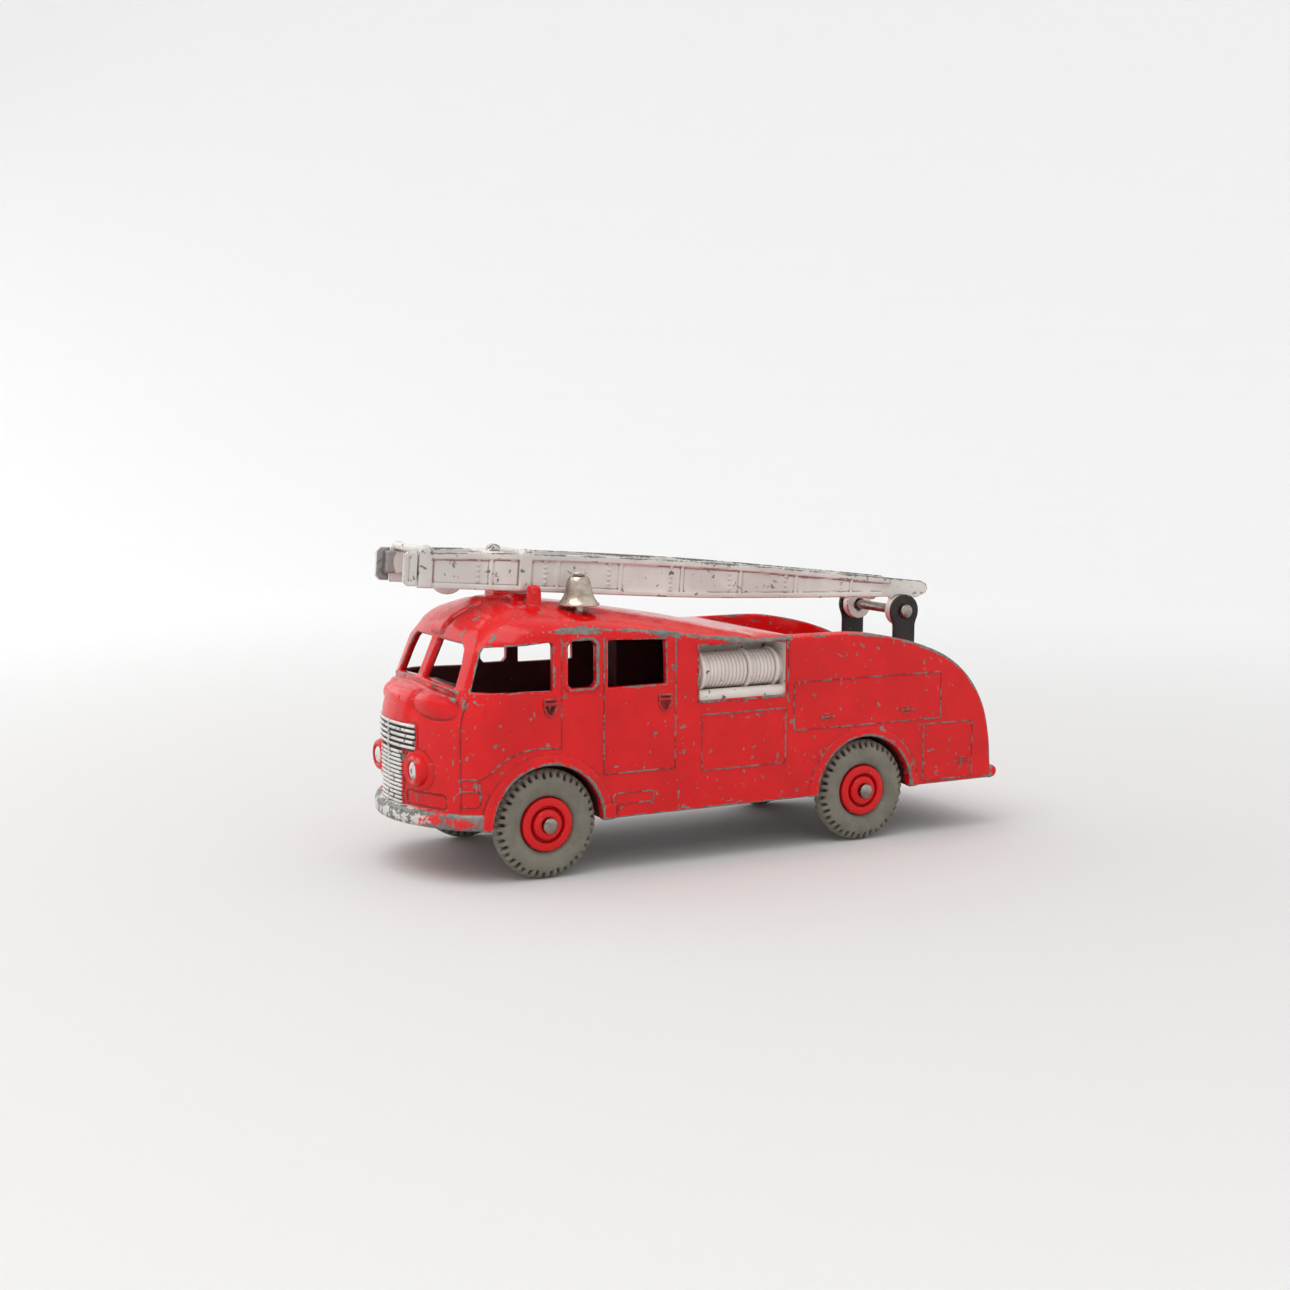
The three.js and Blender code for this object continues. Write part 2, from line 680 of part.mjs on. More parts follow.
function ladderPlate(side) {
  const tail = [[-7.1, 6.3], [-7.7, 5.2], [-7.1, 4.1]];
  const shape = outline([...edgePoints(ladderTop, 10), ...tail, ...edgePoints(ladderBottom, 8)]);
  const [y0, y1] = band(side, LADDER.outerY - LADDER.plate, LADDER.outerY);
  const [e0, e1] = band(side, LADDER.outerY - LADDER.plate, BRACKET.armY - GAP);
  const neck = box(-2.6, 2.6, y0, y1, 0, 4);
  const ear = rodY(0, 0, 3.4, e0, e1);
  const hole = rodY(0, 0, PIVOT.pin + GAP, e0 - 1, e1 + 1);
  return sideSolid(shape, y0, y1).add(neck).add(ear).subtract(hole);
}

function ladderFlange(side) {
  const depth = 1.4;
  const shape = outline([...edgePoints(ladderTop, 10), ...edgePoints(ladderTop, 10, -depth).reverse()]);
  const [y0, y1] = band(side, LADDER.outerY - LADDER.plate, LADDER.outerY + LADDER.flange);
  return sideSolid(shape, y0, y1).intersect(box(4, LADDER.front, y0, y1, 0, 12));
}

// A guide that wraps both side plates and bridges them above the extension.
function ladderCollar(x0, x1, top) {
  const outer = LADDER.outerY + 0.5;
  const cheeks = bothSides((side) => {
    const [y0, y1] = band(side, LADDER.outerY - LADDER.plate, outer);
    return box(x0, x1, y0, y1, 1.7, top - 0.6);
  });
  return cheeks.add(box(x0 + 0.5, x1 - 0.5, -outer, outer, EXTENSION.top + 0.4, top));
}

function rungs(first, last, z, reach) {
  const result = [];
  for (let x = first; x <= last; x += LADDER.rungStep) {
    result.push(rodY(x, z, LADDER.rung, -reach, reach, 8));
  }
  return result;
}

function mainLadder() {
  const pulley = rodY(97.4, 9.3, 1.4, -0.9, 0.9, 16);
  const strap = box(95.6, 99.2, -LADDER.outerY, LADDER.outerY, EXTENSION.top + 0.4, 9.2);
  return joined([
    bothSides(ladderPlate),
    bothSides(ladderFlange),
    ladderCollar(113.7, LADDER.front, 9.8),
    ladderCollar(92.2, 95, 9.9),
    strap,
    pulley,
    ...rungs(7, 102, 2.75, LADDER.outerY - 0.3),
  ]);
}

function extensionLadder() {
  const { outerY, plate, rear, bottom, top, tip } = EXTENSION;
  const headStart = LADDER.front + GAP;
  const rails = bothSides((side) => {
    const [y0, y1] = band(side, outerY - plate, outerY);
    return box(rear, headStart + 1, y0, y1, bottom, top);
  });
  const head = bothSides((side) => {
    const [y0, y1] = band(side, outerY - plate, LADDER.outerY);
    const [p0, p1] = band(side, LADDER.outerY - plate, LADDER.outerY);
    const shape = outline([
      [headStart, 2.0], [tip - 0.8, 2.0], [tip, 2.8], [tip, 7.9], [tip - 0.8, 8.7], [headStart, 8.7],
    ]);
    const web = box(headStart, headStart + 1.1, y0, y1, bottom, top);
    return sideSolid(shape, p0, p1).add(web);
  });
  const tabShape = new THREE.Shape();
  tabShape.moveTo(111.2, 4.3);
  tabShape.lineTo(103.2, 4.3);
  tabShape.absarc(107.2, 3.8, 4, Math.PI, 2 * Math.PI, false);
  const tab = sideSolid(tabShape, -0.6, 0.6);
  const crossBars = rungs(rear + 3.4, headStart, 4.3, outerY - 0.3);
  return joined([rails, head, tab, ...crossBars]);
}

// ---- assembly ---------------------------------------------------------------------------------

function mesh(name, manifold, material) {
  const result = new THREE.Mesh(geometryOf(manifold), material);
  result.name = name;
  return result;
}

function wheels() {
  const group = new THREE.Group();
  for (const [end, x] of [['front', WHEEL.frontX], ['rear', WHEEL.rearX]]) {
    group.add(mesh(`${end}_axle`, axle(x), paint.steel));
    for (const [hand, side] of [['left', 1], ['right', -1]]) {
      group.add(wheelPiece(`${end}_${hand}_hub`, hub, paint.red, x, side));
      group.add(wheelPiece(`${end}_${hand}_tyre`, tyre, paint.rubber, x, side));
    }
  }
  return group;
}

function ladders() {
  const group = new THREE.Group();
  group.position.set(PIVOT.x, 0, PIVOT.z);
  group.rotation.y = -LADDER.pitch;
  group.add(mesh('main_ladder', mainLadder(), paint.silver));
  group.add(mesh('extension_ladder', extensionLadder(), paint.silver));
  return group;
}

const fireEngine = new THREE.Group();
fireEngine.add(mesh('body_casting', bodyCasting(), paint.red));
fireEngine.add(mesh('base_plate', basePlate(), paint.black));
for (const [name, x] of Object.entries(BASE_RIVETS)) fireEngine.add(mesh(name, baseRivet(x), paint.steel));
fireEngine.add(wheels());
fireEngine.add(mesh('bell', bell(), paint.nickel));
fireEngine.add(mesh('bell_rivet', bellRivet(), paint.steel));
fireEngine.add(mesh('ladder_bracket', ladderBracket(), paint.black));
fireEngine.add(mesh('bracket_rivet', bracketRivet(), paint.steel));
fireEngine.add(mesh('ladder_pin', ladderPin(), paint.steel));
fireEngine.add(ladders());

export default fireEngine;
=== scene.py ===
# The looks of a die-cast toy fire engine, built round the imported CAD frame.
#
# Shapes are drawn as distance fields in millimetres, on the left half of the toy where they are
# symmetric, and meshed at the end. +X is the front, +Y the left side, +Z up, as in the frame.

import json
import math

import bmesh
import bpy
import numpy as np
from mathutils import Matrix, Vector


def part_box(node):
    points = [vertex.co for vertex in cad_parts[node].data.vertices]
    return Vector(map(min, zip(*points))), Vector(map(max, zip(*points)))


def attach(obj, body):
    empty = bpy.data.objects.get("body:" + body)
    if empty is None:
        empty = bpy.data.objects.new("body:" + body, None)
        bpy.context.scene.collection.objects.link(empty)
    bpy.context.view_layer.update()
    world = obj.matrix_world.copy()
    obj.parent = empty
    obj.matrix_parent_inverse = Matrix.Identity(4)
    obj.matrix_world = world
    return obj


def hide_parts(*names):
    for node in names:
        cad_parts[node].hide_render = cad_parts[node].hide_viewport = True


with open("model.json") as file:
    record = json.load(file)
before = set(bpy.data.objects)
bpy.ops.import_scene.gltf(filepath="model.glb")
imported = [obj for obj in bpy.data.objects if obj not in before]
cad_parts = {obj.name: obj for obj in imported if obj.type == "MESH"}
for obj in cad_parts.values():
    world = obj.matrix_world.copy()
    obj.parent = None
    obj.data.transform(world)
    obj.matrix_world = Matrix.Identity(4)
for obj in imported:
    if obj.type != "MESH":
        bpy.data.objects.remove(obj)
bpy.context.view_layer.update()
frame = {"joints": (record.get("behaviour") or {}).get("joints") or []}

import openvdb as vdb
from mathutils import Matrix, Vector

MM = 0.001


def node_box(name):
    """Lowest and highest corner of a CAD node, in millimetres."""
    low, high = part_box(name)
    return np.array(low) / MM, np.array(high) / MM


def joint_place(name):
    joint = next(j for j in frame["joints"] if j["name"] == name)
    return np.array(joint["pos_m"]) / MM


# ---- driving sizes, in millimetres ----

BODY_LOW, BODY_HIGH = node_box("body_casting")
AXLE_END = node_box("front_axle")[1][1]
ARM_LOW, ARM_HIGH = node_box("ladder_bracket")
PIN_END = node_box("ladder_pin")[1][1]
PIVOT = joint_place("ladder_elevation")
WHEEL_X = {end: joint_place(end + "_left_wheel_spin")[0] for end in ("front", "rear")}
RADIUS = joint_place("front_left_wheel_spin")[2]
PITCH = math.radians(3.9)
SIDE = 22.8                  # half the width of the shell
SILL = 11.0
WALL = 1.6
CREASE = 19.4                # where the front panel turns into the side
BUMPER_TOP = 14.5
BUMPER_BOW = 0.021
DECK_Z = 39.0
DECK_HALF = 19.4
REEL = {"x0": -12.5, "x1": 8.4, "z0": 33.8, "z1": 45.0, "back": 13.6, "y": 18.0, "z": 39.3}
LAMP = {"y": 9.95, "z": 22.0}
POST = {"x": 40.4, "y": 10.6, "radius": 1.35, "top": 58.0}
GRILLE = {"wide": 9.9, "narrow": 5.6, "top": 31.2, "step": 25.7}
ARCH = {"well": 12.0, "lip": 12.7, "tub": 13.2, "wing": 14.1}
PIN_HOLE = 1.4
PLATE_IN, PLATE_OUT = 7.4, 8.2      # the side plates of the ladder
CAMERA_PLACE = (193.72, 345.45, 91.11)
CAMERA_AIM = (9.19, 0, 42.88)
CAMERA_ROLL = 0.26                  # degrees


# ---- curves and distance fields ----

def spline(points, steps=16):
    """A smooth curve through the points (Catmull-Rom), as an array of places."""
    p = np.array([points[0], *points, points[-1]], float)
    t = np.linspace(0, 1, steps, endpoint=False)[:, None]
    parts = []
    for a, b, c, d in zip(p, p[1:], p[2:], p[3:]):
        parts.append(0.5 * (2 * b + (c - a) * t + (2 * a - 5 * b + 4 * c - d) * t ** 2
                            + (3 * b - a - 3 * c + d) * t ** 3))
    return np.vstack([*parts, p[-1:]])


def height_on(curve, x):
    order = np.argsort(curve[:, 0])
    return np.interp(x, curve[order, 0], curve[order, 1]).astype(np.float32)


def outline(u, v, points):
    """Signed distance to a closed outline, negative inside."""
    points = [(float(a), float(b)) for a, b in points]
    shape = np.broadcast_shapes(u.shape, v.shape)
    nearest = np.full(shape, 1e9, np.float32)
    inside = np.zeros(shape, bool)
    for (ax, ay), (bx, by) in zip(points, points[1:] + points[:1]):
        ex, ey = bx - ax, by - ay
        if ex == 0 and ey == 0:
            continue
        along = np.clip(((u - ax) * ex + (v - ay) * ey) / (ex * ex + ey * ey), 0, 1)
        nearest = np.minimum(nearest, (u - ax - ex * along) ** 2 + (v - ay - ey * along) ** 2)
        if ay != by:
            inside ^= ((ay > v) != (by > v)) & (u < ex * (v - ay) / ey + ax)
    return np.where(inside, -1, 1).astype(np.float32) * np.sqrt(nearest)


def join(a, b, k=0.0):
    """Union, with a fillet about k wide."""
    if k == 0:
        return np.minimum(a, b)
    near = np.maximum(k - np.abs(a - b), 0) / k
    return np.minimum(a, b) - near * near * k / 4


def common(a, b, k=0.0):
    """Intersection, with the edge rounded over about k."""
    return -join(-a, -b, k)


def cut(a, b, k=0.0):
    return common(a, -b, k)


def slab(u, low, high):
    """Distance to the band low < u < high."""
    return np.abs(u - (low + high) / 2) - (high - low) / 2


def block(x, y, z, low, high, k=0.0):
    sides = common(slab(x, low[0], high[0]), slab(y, low[1], high[1]), k)
    return common(sides, slab(z, low[2], high[2]), k)


def disc(u, v, cu, cv, radius):
    return np.hypot(u - cu, v - cv) - radius


def norm(*parts):
    return np.sqrt(sum(part ** 2 for part in parts))


def smoothed(values, width):
    """Running mean over width samples, with the ends held."""
    kernel = np.ones(width) / width
    return np.convolve(np.pad(values, width // 2, mode="edge"), kernel, mode="valid")[:len(values)]


# ---- fields to meshes ----

def new_mesh(name, points, polygons, edge=None):
    """A smooth-shaded object from millimetres; edge says how far each point stands out."""
    mesh = bpy.data.meshes.new(name)
    sizes = np.concatenate([np.full(len(p), p.shape[1]) for p in polygons if len(p)])
    corners = np.concatenate([p.ravel() for p in polygons if len(p)])
    mesh.vertices.add(len(points))
    mesh.vertices.foreach_set("co", (np.asarray(points) * MM).astype(np.float32).ravel())
    mesh.loops.add(len(corners))
    mesh.loops.foreach_set("vertex_index", corners.astype(np.int32))
    mesh.polygons.add(len(sizes))
    starts = np.concatenate([[0], np.cumsum(sizes)[:-1]])
    mesh.polygons.foreach_set("loop_start", starts.astype(np.int32))
    mesh.polygons.foreach_set("use_smooth", np.ones(len(sizes), bool))
    mesh.update(calc_edges=True)
    mesh.validate()
    if edge is not None:
        layer = mesh.attributes.new("edge", "FLOAT", "POINT")
        layer.data.foreach_set("value", np.asarray(edge, np.float32))
    piece = bpy.data.objects.new(name, mesh)
    bpy.context.scene.collection.objects.link(piece)
    return piece


def sampled(field, places):
    """The field between its samples, by straight-line mixing; places are in samples."""
    limit = np.array(field.shape) - 1.001
    places = np.clip(places, 0, limit)
    base = places.astype(int)
    f = (places - base).T
    result = np.zeros(len(places))
    for corner in range(8):
        d = np.array([corner & 1, corner >> 1 & 1, corner >> 2])
        weight = np.prod([f[i] if d[i] else 1 - f[i] for i in range(3)], axis=0)
        result += weight * field[tuple((base + d).T)]
    return result


def sculpt(name, low, high, step, shape, adaptivity=0.0, mirror=True, reach=0.8, wear=None):
    """Meshes the distance field shape(x, y, z) inside a box. With mirror the box starts at y = 0."""
    low, high = np.array(low, float), np.array(high, float)
    axes = [np.arange(a, b + step, step, dtype=np.float32) for a, b in zip(low, high)]
    field = shape(axes[0][:, None, None], axes[1][None, :, None], axes[2][None, None, :])
    field = np.ascontiguousarray(np.broadcast_to(field, [len(a) for a in axes]), np.float32)
    whole, corner = field, low.copy()
    if mirror:
        whole = np.concatenate([field[:, :0:-1], field], axis=1)
        corner[1] = -step * (field.shape[1] - 1)
    grid = vdb.FloatGrid(3 * step)
    grid.copyFromArray(np.clip(whole, -3 * step, 3 * step))
    points, triangles, quads = grid.convertToPolygons(0.0, adaptivity)
    edge = np.zeros(len(points))
    for axis in range(3):
        for way in (-1, 1):
            moved = points.astype(float)
            moved[:, axis] += way * reach / step
            edge += sampled(whole, moved) / (6 * reach)
    places = points * step + corner
    if wear is not None:
        edge += wear(*places.T)
    return new_mesh(name, places, [triangles, quads], edge)


def rounded(profile, radius, steps=3):
    """An open profile with an arc at each inner corner."""
    p = [np.array(q, float) for q in profile]
    result = [p[0]]
    for a, b, c in zip(p, p[1:], p[2:]):
        reach = min(radius, 0.45 * np.linalg.norm(a - b), 0.45 * np.linalg.norm(c - b))
        start = b + (a - b) * reach / max(np.linalg.norm(a - b), 1e-9)
        end = b + (c - b) * reach / max(np.linalg.norm(c - b), 1e-9)
        for i in range(steps + 1):
            t = i / steps
            result.append((1 - t) ** 2 * start + 2 * t * (1 - t) * b + t * t * end)
    return np.array([*result, p[-1]])


def turned(name, profile, centre, axis, sides=64, radius=0.15):
    """A closed turned piece: profile is radius and height from axis to axis, heights run along axis."""
    profile = rounded(profile, radius)
    count = len(profile)
    angles = np.arange(sides) * 2 * math.pi / sides
    axis = Vector(axis).normalized()
    across = axis.orthogonal().normalized()
    other = axis.cross(across)
    a, b, c = (np.array(v) for v in (across, other, axis))
    ring_radius = profile[None, :, 0] * np.ones((sides, 1))
    points = (a * (np.cos(angles)[:, None] * ring_radius)[..., None]
              + b * (np.sin(angles)[:, None] * ring_radius)[..., None]
              + c * (profile[None, :, 1] * np.ones((sides, 1)))[..., None])
    points = points.reshape(-1, 3) + np.array(centre)
    j, i = np.meshgrid(np.arange(sides), np.arange(count - 1), indexing="ij")
    k = (j + 1) % sides
    near_ring, far_ring = j * count + i, k * count + i
    quads = np.stack([near_ring, far_ring, far_ring + 1, near_ring + 1], -1).reshape(-1, 4)
    bend = np.zeros(count)
    step1, step2 = profile[1:-1] - profile[:-2], profile[2:] - profile[1:-1]
    crossing = step1[:, 0] * step2[:, 1] - step1[:, 1] * step2[:, 0]
    lengths = np.linalg.norm(step1, axis=1) * np.linalg.norm(step2, axis=1)
    bend[1:-1] = crossing / np.maximum(lengths, 1e-9)
    piece = new_mesh(name, points, [quads], np.tile(bend * 0.3, sides))
    settle(piece)
    return piece


def settle(piece):
    """Merges doubled points and turns the faces outwards."""
    work = bmesh.new()
    work.from_mesh(piece.data)
    bmesh.ops.remove_doubles(work, verts=work.verts, dist=1e-6)
    bmesh.ops.recalc_face_normals(work, faces=work.faces)
    work.to_mesh(piece.data)
    work.free()


def bead(name, points, radius, edge=0.3, sides=6):
    """A round bar through the points, with closed ends."""
    points = np.array(points, float)
    tangent = np.gradient(points, axis=0)
    tangent /= np.linalg.norm(tangent, axis=1)[:, None]
    along_y = abs(points[-1, 1] - points[0, 1]) > 1
    hint = np.array([0, 0, 1.0]) if along_y else np.array([0, 1.0, 0])
    side = np.cross(tangent, hint)
    side /= np.linalg.norm(side, axis=1)[:, None]
    up = np.cross(side, tangent)
    tip = tangent * radius * 0.6
    points = np.vstack([points[:1] - tip[:1], points, points[-1:] + tip[-1:]])
    side, up = (np.vstack([v[:1], v, v[-1:]]) for v in (side, up))
    radii = np.full(len(points), radius)
    radii[[0, -1]] *= 0.35
    angles = np.arange(sides) * 2 * math.pi / sides
    ring = (side[:, None] * np.cos(angles)[None, :, None] + up[:, None] * np.sin(angles)[None, :, None])
    places = points[:, None] + ring * radii[:, None, None]
    count = len(points)
    i, j = np.meshgrid(np.arange(count - 1), np.arange(sides), indexing="ij")
    k = (j + 1) % sides
    near_side, far_side = i * sides + j, i * sides + k
    quads = np.stack([near_side, far_side, far_side + sides, near_side + sides], -1).reshape(-1, 4)
    caps = np.array([np.arange(sides)[::-1], (count - 1) * sides + np.arange(sides)])
    return new_mesh(name, places.reshape(-1, 3), [quads, caps], np.full(count * sides, edge))


def merged(name, parts):
    """Several objects of one material as one object."""
    with bpy.context.temp_override(active_object=parts[0], selected_editable_objects=parts):
        bpy.ops.object.join()
    parts[0].name = parts[0].data.name = name
    return parts[0]


# ---- materials ----

# The third and darkest red is painted into the hollows of the red paints as shade.
RED_LIGHT, RED_DARK, RED_HOLLOW_SHADE = (0.71, 0.0065, 0.0085), (0.62, 0.005, 0.007), (0.16, 0.005, 0.006)
METAL_DARK, METAL_LIGHT = (0.125, 0.125, 0.11), (0.25, 0.25, 0.225)
BROWN = (0.16, 0.055, 0.045)


def wire(item, values):
    """Links each input of a node to a socket, or gives it a plain value."""
    for key, value in values.items():
        if isinstance(value, bpy.types.NodeSocket):
            item.id_data.links.new(value, item.inputs[key])
        else:
            item.inputs[key].default_value = value
    return item


def add(tree, kind, values, **settings):
    item = tree.nodes.new("ShaderNode" + kind)
    for key, value in settings.items():
        setattr(item, key, value)
    return wire(item, values)


def start_material(name, roughness, metallic=0.0):
    material = bpy.data.materials.new(name)
    material.use_nodes = True
    tree = material.node_tree
    shader = tree.nodes["Principled BSDF"]
    wire(shader, {"Roughness": roughness, "Metallic": metallic})
    place = add(tree, "TexCoord", {}).outputs["Object"]
    return material, tree, shader, place


def noise(tree, place, per_metre, detail=3.0, rough=0.55, shift=0.0):
    values = {"Vector": place, "Scale": per_metre, "Detail": detail, "Roughness": rough,
              "Distortion": shift}
    return add(tree, "TexNoise", values).outputs["Fac"]


def ramp(tree, value, low, high, to_low=0.0, to_high=1.0):
    values = {"Value": value, "From Min": low, "From Max": high, "To Min": to_low, "To Max": to_high}
    return add(tree, "MapRange", values, interpolation_type="SMOOTHSTEP").outputs["Result"]


def maths(tree, operation, a, b):
    return add(tree, "Math", {0: a, 1: b}, operation=operation).outputs[0]


def mixed(tree, factor, a, b):
    """A mix of two colours; the colour inputs of the node are the seventh and eighth."""
    return add(tree, "Mix", {0: factor, 6: a, 7: b}, data_type="RGBA").outputs[2]


def edge_of(tree):
    return add(tree, "Attribute", {}, attribute_name="edge").outputs["Fac"]


def bump(tree, height, distance, strength=1.0, under=None):
    values = {"Height": height, "Distance": distance * MM, "Strength": strength}
    if under is not None:
        values["Normal"] = under
    return add(tree, "Bump", values).outputs["Normal"]


def worn_mask(tree, place, gain, chips):
    """Where paint is gone: raised edges first, then scattered chips."""
    edge = maths(tree, "MULTIPLY", edge_of(tree), gain)
    broad = maths(tree, "MULTIPLY", noise(tree, place, 190, 2.0), 1.2)
    fine = noise(tree, place, 1300, 4.0, 0.65)
    rubbed = ramp(tree, maths(tree, "ADD", edge, maths(tree, "ADD", broad, fine)), 1.56, 1.60)
    spots = noise(tree, place, 620, 2.5, 0.5, 0.6)
    patch = maths(tree, "MULTIPLY", noise(tree, place, 60, 1.0), 0.2)
    chipped = ramp(tree, maths(tree, "ADD", spots, patch), chips, chips + 0.015)
    return maths(tree, "MAXIMUM", rubbed, chipped)


def bare_metal(tree, place, shade=1.0):
    mottled = noise(tree, place, 900, 4.0, 0.7)
    dark, light = ([shade * c for c in tone] + [1] for tone in (METAL_DARK, METAL_LIGHT))
    return mixed(tree, ramp(tree, mottled, 0.3, 0.7), dark, light)


def paint_over_metal(name, light, dark, roughness, gain, chips, shade_and_dirt_colour,
                     specular=0.3, metallic=0.0, shade=1.0):
    """Paint worn through to the metal, with the hollows darkened towards a given colour: painted shade,
    with brown dirt in it on the silver paints.
    """
    material, tree, shader, place = start_material(name, roughness, metallic)
    worn = worn_mask(tree, place, gain, chips)
    tone = mixed(tree, ramp(tree, noise(tree, place, 90, 3.0), 0.35, 0.68), (*dark, 1), (*light, 1))
    # The hollows are darkened towards the given colour: painted shade, and dirt where that colour is
    # brown.
    shade_and_dirt = maths(tree, "MULTIPLY", ramp(tree, edge_of(tree), -0.02, -0.11), 0.75)
    colour = mixed(tree, worn, mixed(tree, shade_and_dirt, tone, (*shade_and_dirt_colour, 1)), bare_metal(tree, place, shade))
    polish = ramp(tree, noise(tree, place, 260, 4.0, 0.6), 0.25, 0.75, roughness * 0.75, roughness * 1.3)
    polish = maths(tree, "MAXIMUM", polish, maths(tree, "MULTIPLY", worn, 0.5))
    if metallic == 0:
        wire(shader, {"Metallic": maths(tree, "MULTIPLY", worn, 0.4)})
    peel = bump(tree, noise(tree, place, 420, 2.0), 0.05, 0.3)
    step = bump(tree, maths(tree, "SUBTRACT", 1.0, worn), 0.045, 0.6, peel)
    wire(shader, {"Base Color": colour, "Roughness": polish, "Normal": step,
                  "Specular IOR Level": specular})
    return material


def rubber():
    material, tree, shader, place = start_material("grey_rubber", 0.72)
    mottled = ramp(tree, noise(tree, place, 230, 4.0, 0.65), 0.3, 0.7)
    tone = mixed(tree, mottled, (0.150, 0.140, 0.108, 1), (0.205, 0.192, 0.150, 1))
    # The raised edges are made lighter.
    edges_lightened = mixed(tree, ramp(tree, edge_of(tree), 0.05, 0.3), tone, (0.26, 0.245, 0.20, 1))
    # The tread notches and other hollows are darkened: painted shade.
    notch_shaded = mixed(tree, ramp(tree, edge_of(tree), -0.05, -0.25), edges_lightened, (0.06, 0.055, 0.042, 1))
    polish = ramp(tree, noise(tree, place, 500, 3.0), 0.3, 0.7, 0.6, 0.85)
    pores = bump(tree, noise(tree, place, 2600, 3.0, 0.6), 0.05, 0.5)
    uneven = bump(tree, noise(tree, place, 350, 2.0), 0.12, 0.35, pores)
    wire(shader, {"Base Color": notch_shaded, "Roughness": polish, "Normal": uneven})
    return material


def bare(name, light, dark, roughness, scale=300.0):
    """Bare metal with patches of tarnish, and painted shade in the hollows."""
    material, tree, shader, place = start_material(name, roughness, 1.0)
    tarnish = ramp(tree, noise(tree, place, scale, 4.0, 0.6), 0.32, 0.68)
    # The hollows are darkened towards near-black: painted shade.
    hollow_shade = maths(tree, "MULTIPLY", ramp(tree, edge_of(tree), -0.02, -0.15), 0.7)
    tone = mixed(tree, tarnish, (*dark, 1), (*light, 1))
    colour = mixed(tree, hollow_shade, tone, (0.03, 0.028, 0.025, 1))
    polish = ramp(tree, noise(tree, place, 700, 3.0), 0.3, 0.7, roughness * 0.7, roughness * 1.5)
    grain = bump(tree, noise(tree, place, 1300, 4.0, 0.6), 0.02, 0.4)
    wire(shader, {"Base Color": colour, "Roughness": polish, "Normal": grain})
    return material


def bumper_paint():
    """Silver over red over bare metal, with the red showing at both ends."""
    material, tree, shader, place = start_material("bumper_paint", 0.4)
    edge = maths(tree, "MULTIPLY", edge_of(tree), 1.7)
    ragged = maths(tree, "ADD", noise(tree, place, 300, 3.0), noise(tree, place, 1000, 4.0, 0.7))
    bared = ramp(tree, maths(tree, "ADD", edge, ragged), 1.12, 1.16)
    along = add(tree, "SeparateXYZ", {"Vector": place}).outputs["X"]
    shifted = maths(tree, "ADD", along, maths(tree, "MULTIPLY", ragged, 0.008))
    toward_end = ramp(tree, shifted, 0.0738, 0.0724)
    silver = mixed(tree, noise(tree, place, 600, 3.0), (0.50, 0.48, 0.46, 1), (0.76, 0.73, 0.70, 1))
    paint = mixed(tree, toward_end, silver, (*RED_LIGHT, 1))
    colour = mixed(tree, bared, paint, bare_metal(tree, place))
    step = bump(tree, maths(tree, "SUBTRACT", 1.0, bared), 0.05, 0.7)
    metallic = maths(tree, "MULTIPLY", bared, 0.4)
    wire(shader, {"Base Color": colour, "Metallic": metallic, "Normal": step})
    return material


RED = paint_over_metal("red_enamel", RED_LIGHT, RED_DARK, 0.17, 2.6, 0.77, RED_HOLLOW_SHADE)
# A darker red for the raised lines: painted shade along the panel lines.
RED_LINE_SHADE = paint_over_metal(
    "red_line_shade", (0.42, 0.012, 0.014), (0.30, 0.010, 0.012), 0.3, 1.45, 0.66, RED_HOLLOW_SHADE)
SILVER = paint_over_metal(
    "silver_paint", (0.73, 0.70, 0.655), (0.60, 0.57, 0.54), 0.42, 1.9, 0.775, BROWN, 0.4, 0.25, 1.1)
REEL_SILVER = paint_over_metal(
    "reel_silver", (0.80, 0.735, 0.69), (0.68, 0.61, 0.57), 0.45, 0.5, 0.78, BROWN, 0.4, 0.1, 0.7)
GRILLE_SILVER = paint_over_metal(
    "grille_silver", (0.80, 0.77, 0.74), (0.58, 0.56, 0.53), 0.38, 0.8, 0.72, BROWN, 0.4, 0.2)
# Darker silver for the inside of the extension ladder's head: painted shade.
HEAD_INSIDE_SHADE = paint_over_metal(
    "ladder_head_shade", (0.36, 0.33, 0.33), (0.20, 0.18, 0.18), 0.5, 1.0, 0.70, (0.08, 0.07, 0.07), 0.4, 0.3)
BLACK = paint_over_metal(
    "black_enamel", (0.030, 0.026, 0.025), (0.016, 0.014, 0.013), 0.4, 0.8, 0.80, (0.008, 0.007, 0.006))
SHADOW = paint_over_metal(
    "grille_gap", (0.035, 0.016, 0.015), (0.02, 0.010, 0.010), 0.6, 0.3, 0.84, (0.01, 0.006, 0.006))
# Dark red for the faces inside the cab and body: painted shade.
INSIDE_SHADE = paint_over_metal(
    "inside_painted_shade", (0.12, 0.026, 0.026), (0.08, 0.020, 0.020), 0.6, 0.3, 0.86, (0.03, 0.005, 0.005))
# A darker red for the handles: painted shade in their cups.
HANDLE_SHADE = paint_over_metal(
    "handle_shade_red", (0.44, 0.014, 0.015), (0.32, 0.012, 0.012), 0.3, 2.6, 0.72, (0.10, 0.012, 0.010))
RUBBER = rubber()
STEEL = bare("bright_steel", (0.46, 0.41, 0.37), (0.22, 0.18, 0.155), 0.32)
BELL_METAL = bare("bell_metal", (0.62, 0.535, 0.46), (0.36, 0.285, 0.23), 0.25)
BUMPER = bumper_paint()


def dress(piece, material, body, slot, *nodes):
    piece.data.materials.clear()
    piece.data.materials.append(material)
    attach(piece, body)
    if nodes:
        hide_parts(*nodes)
    return piece


# ---- body form ----

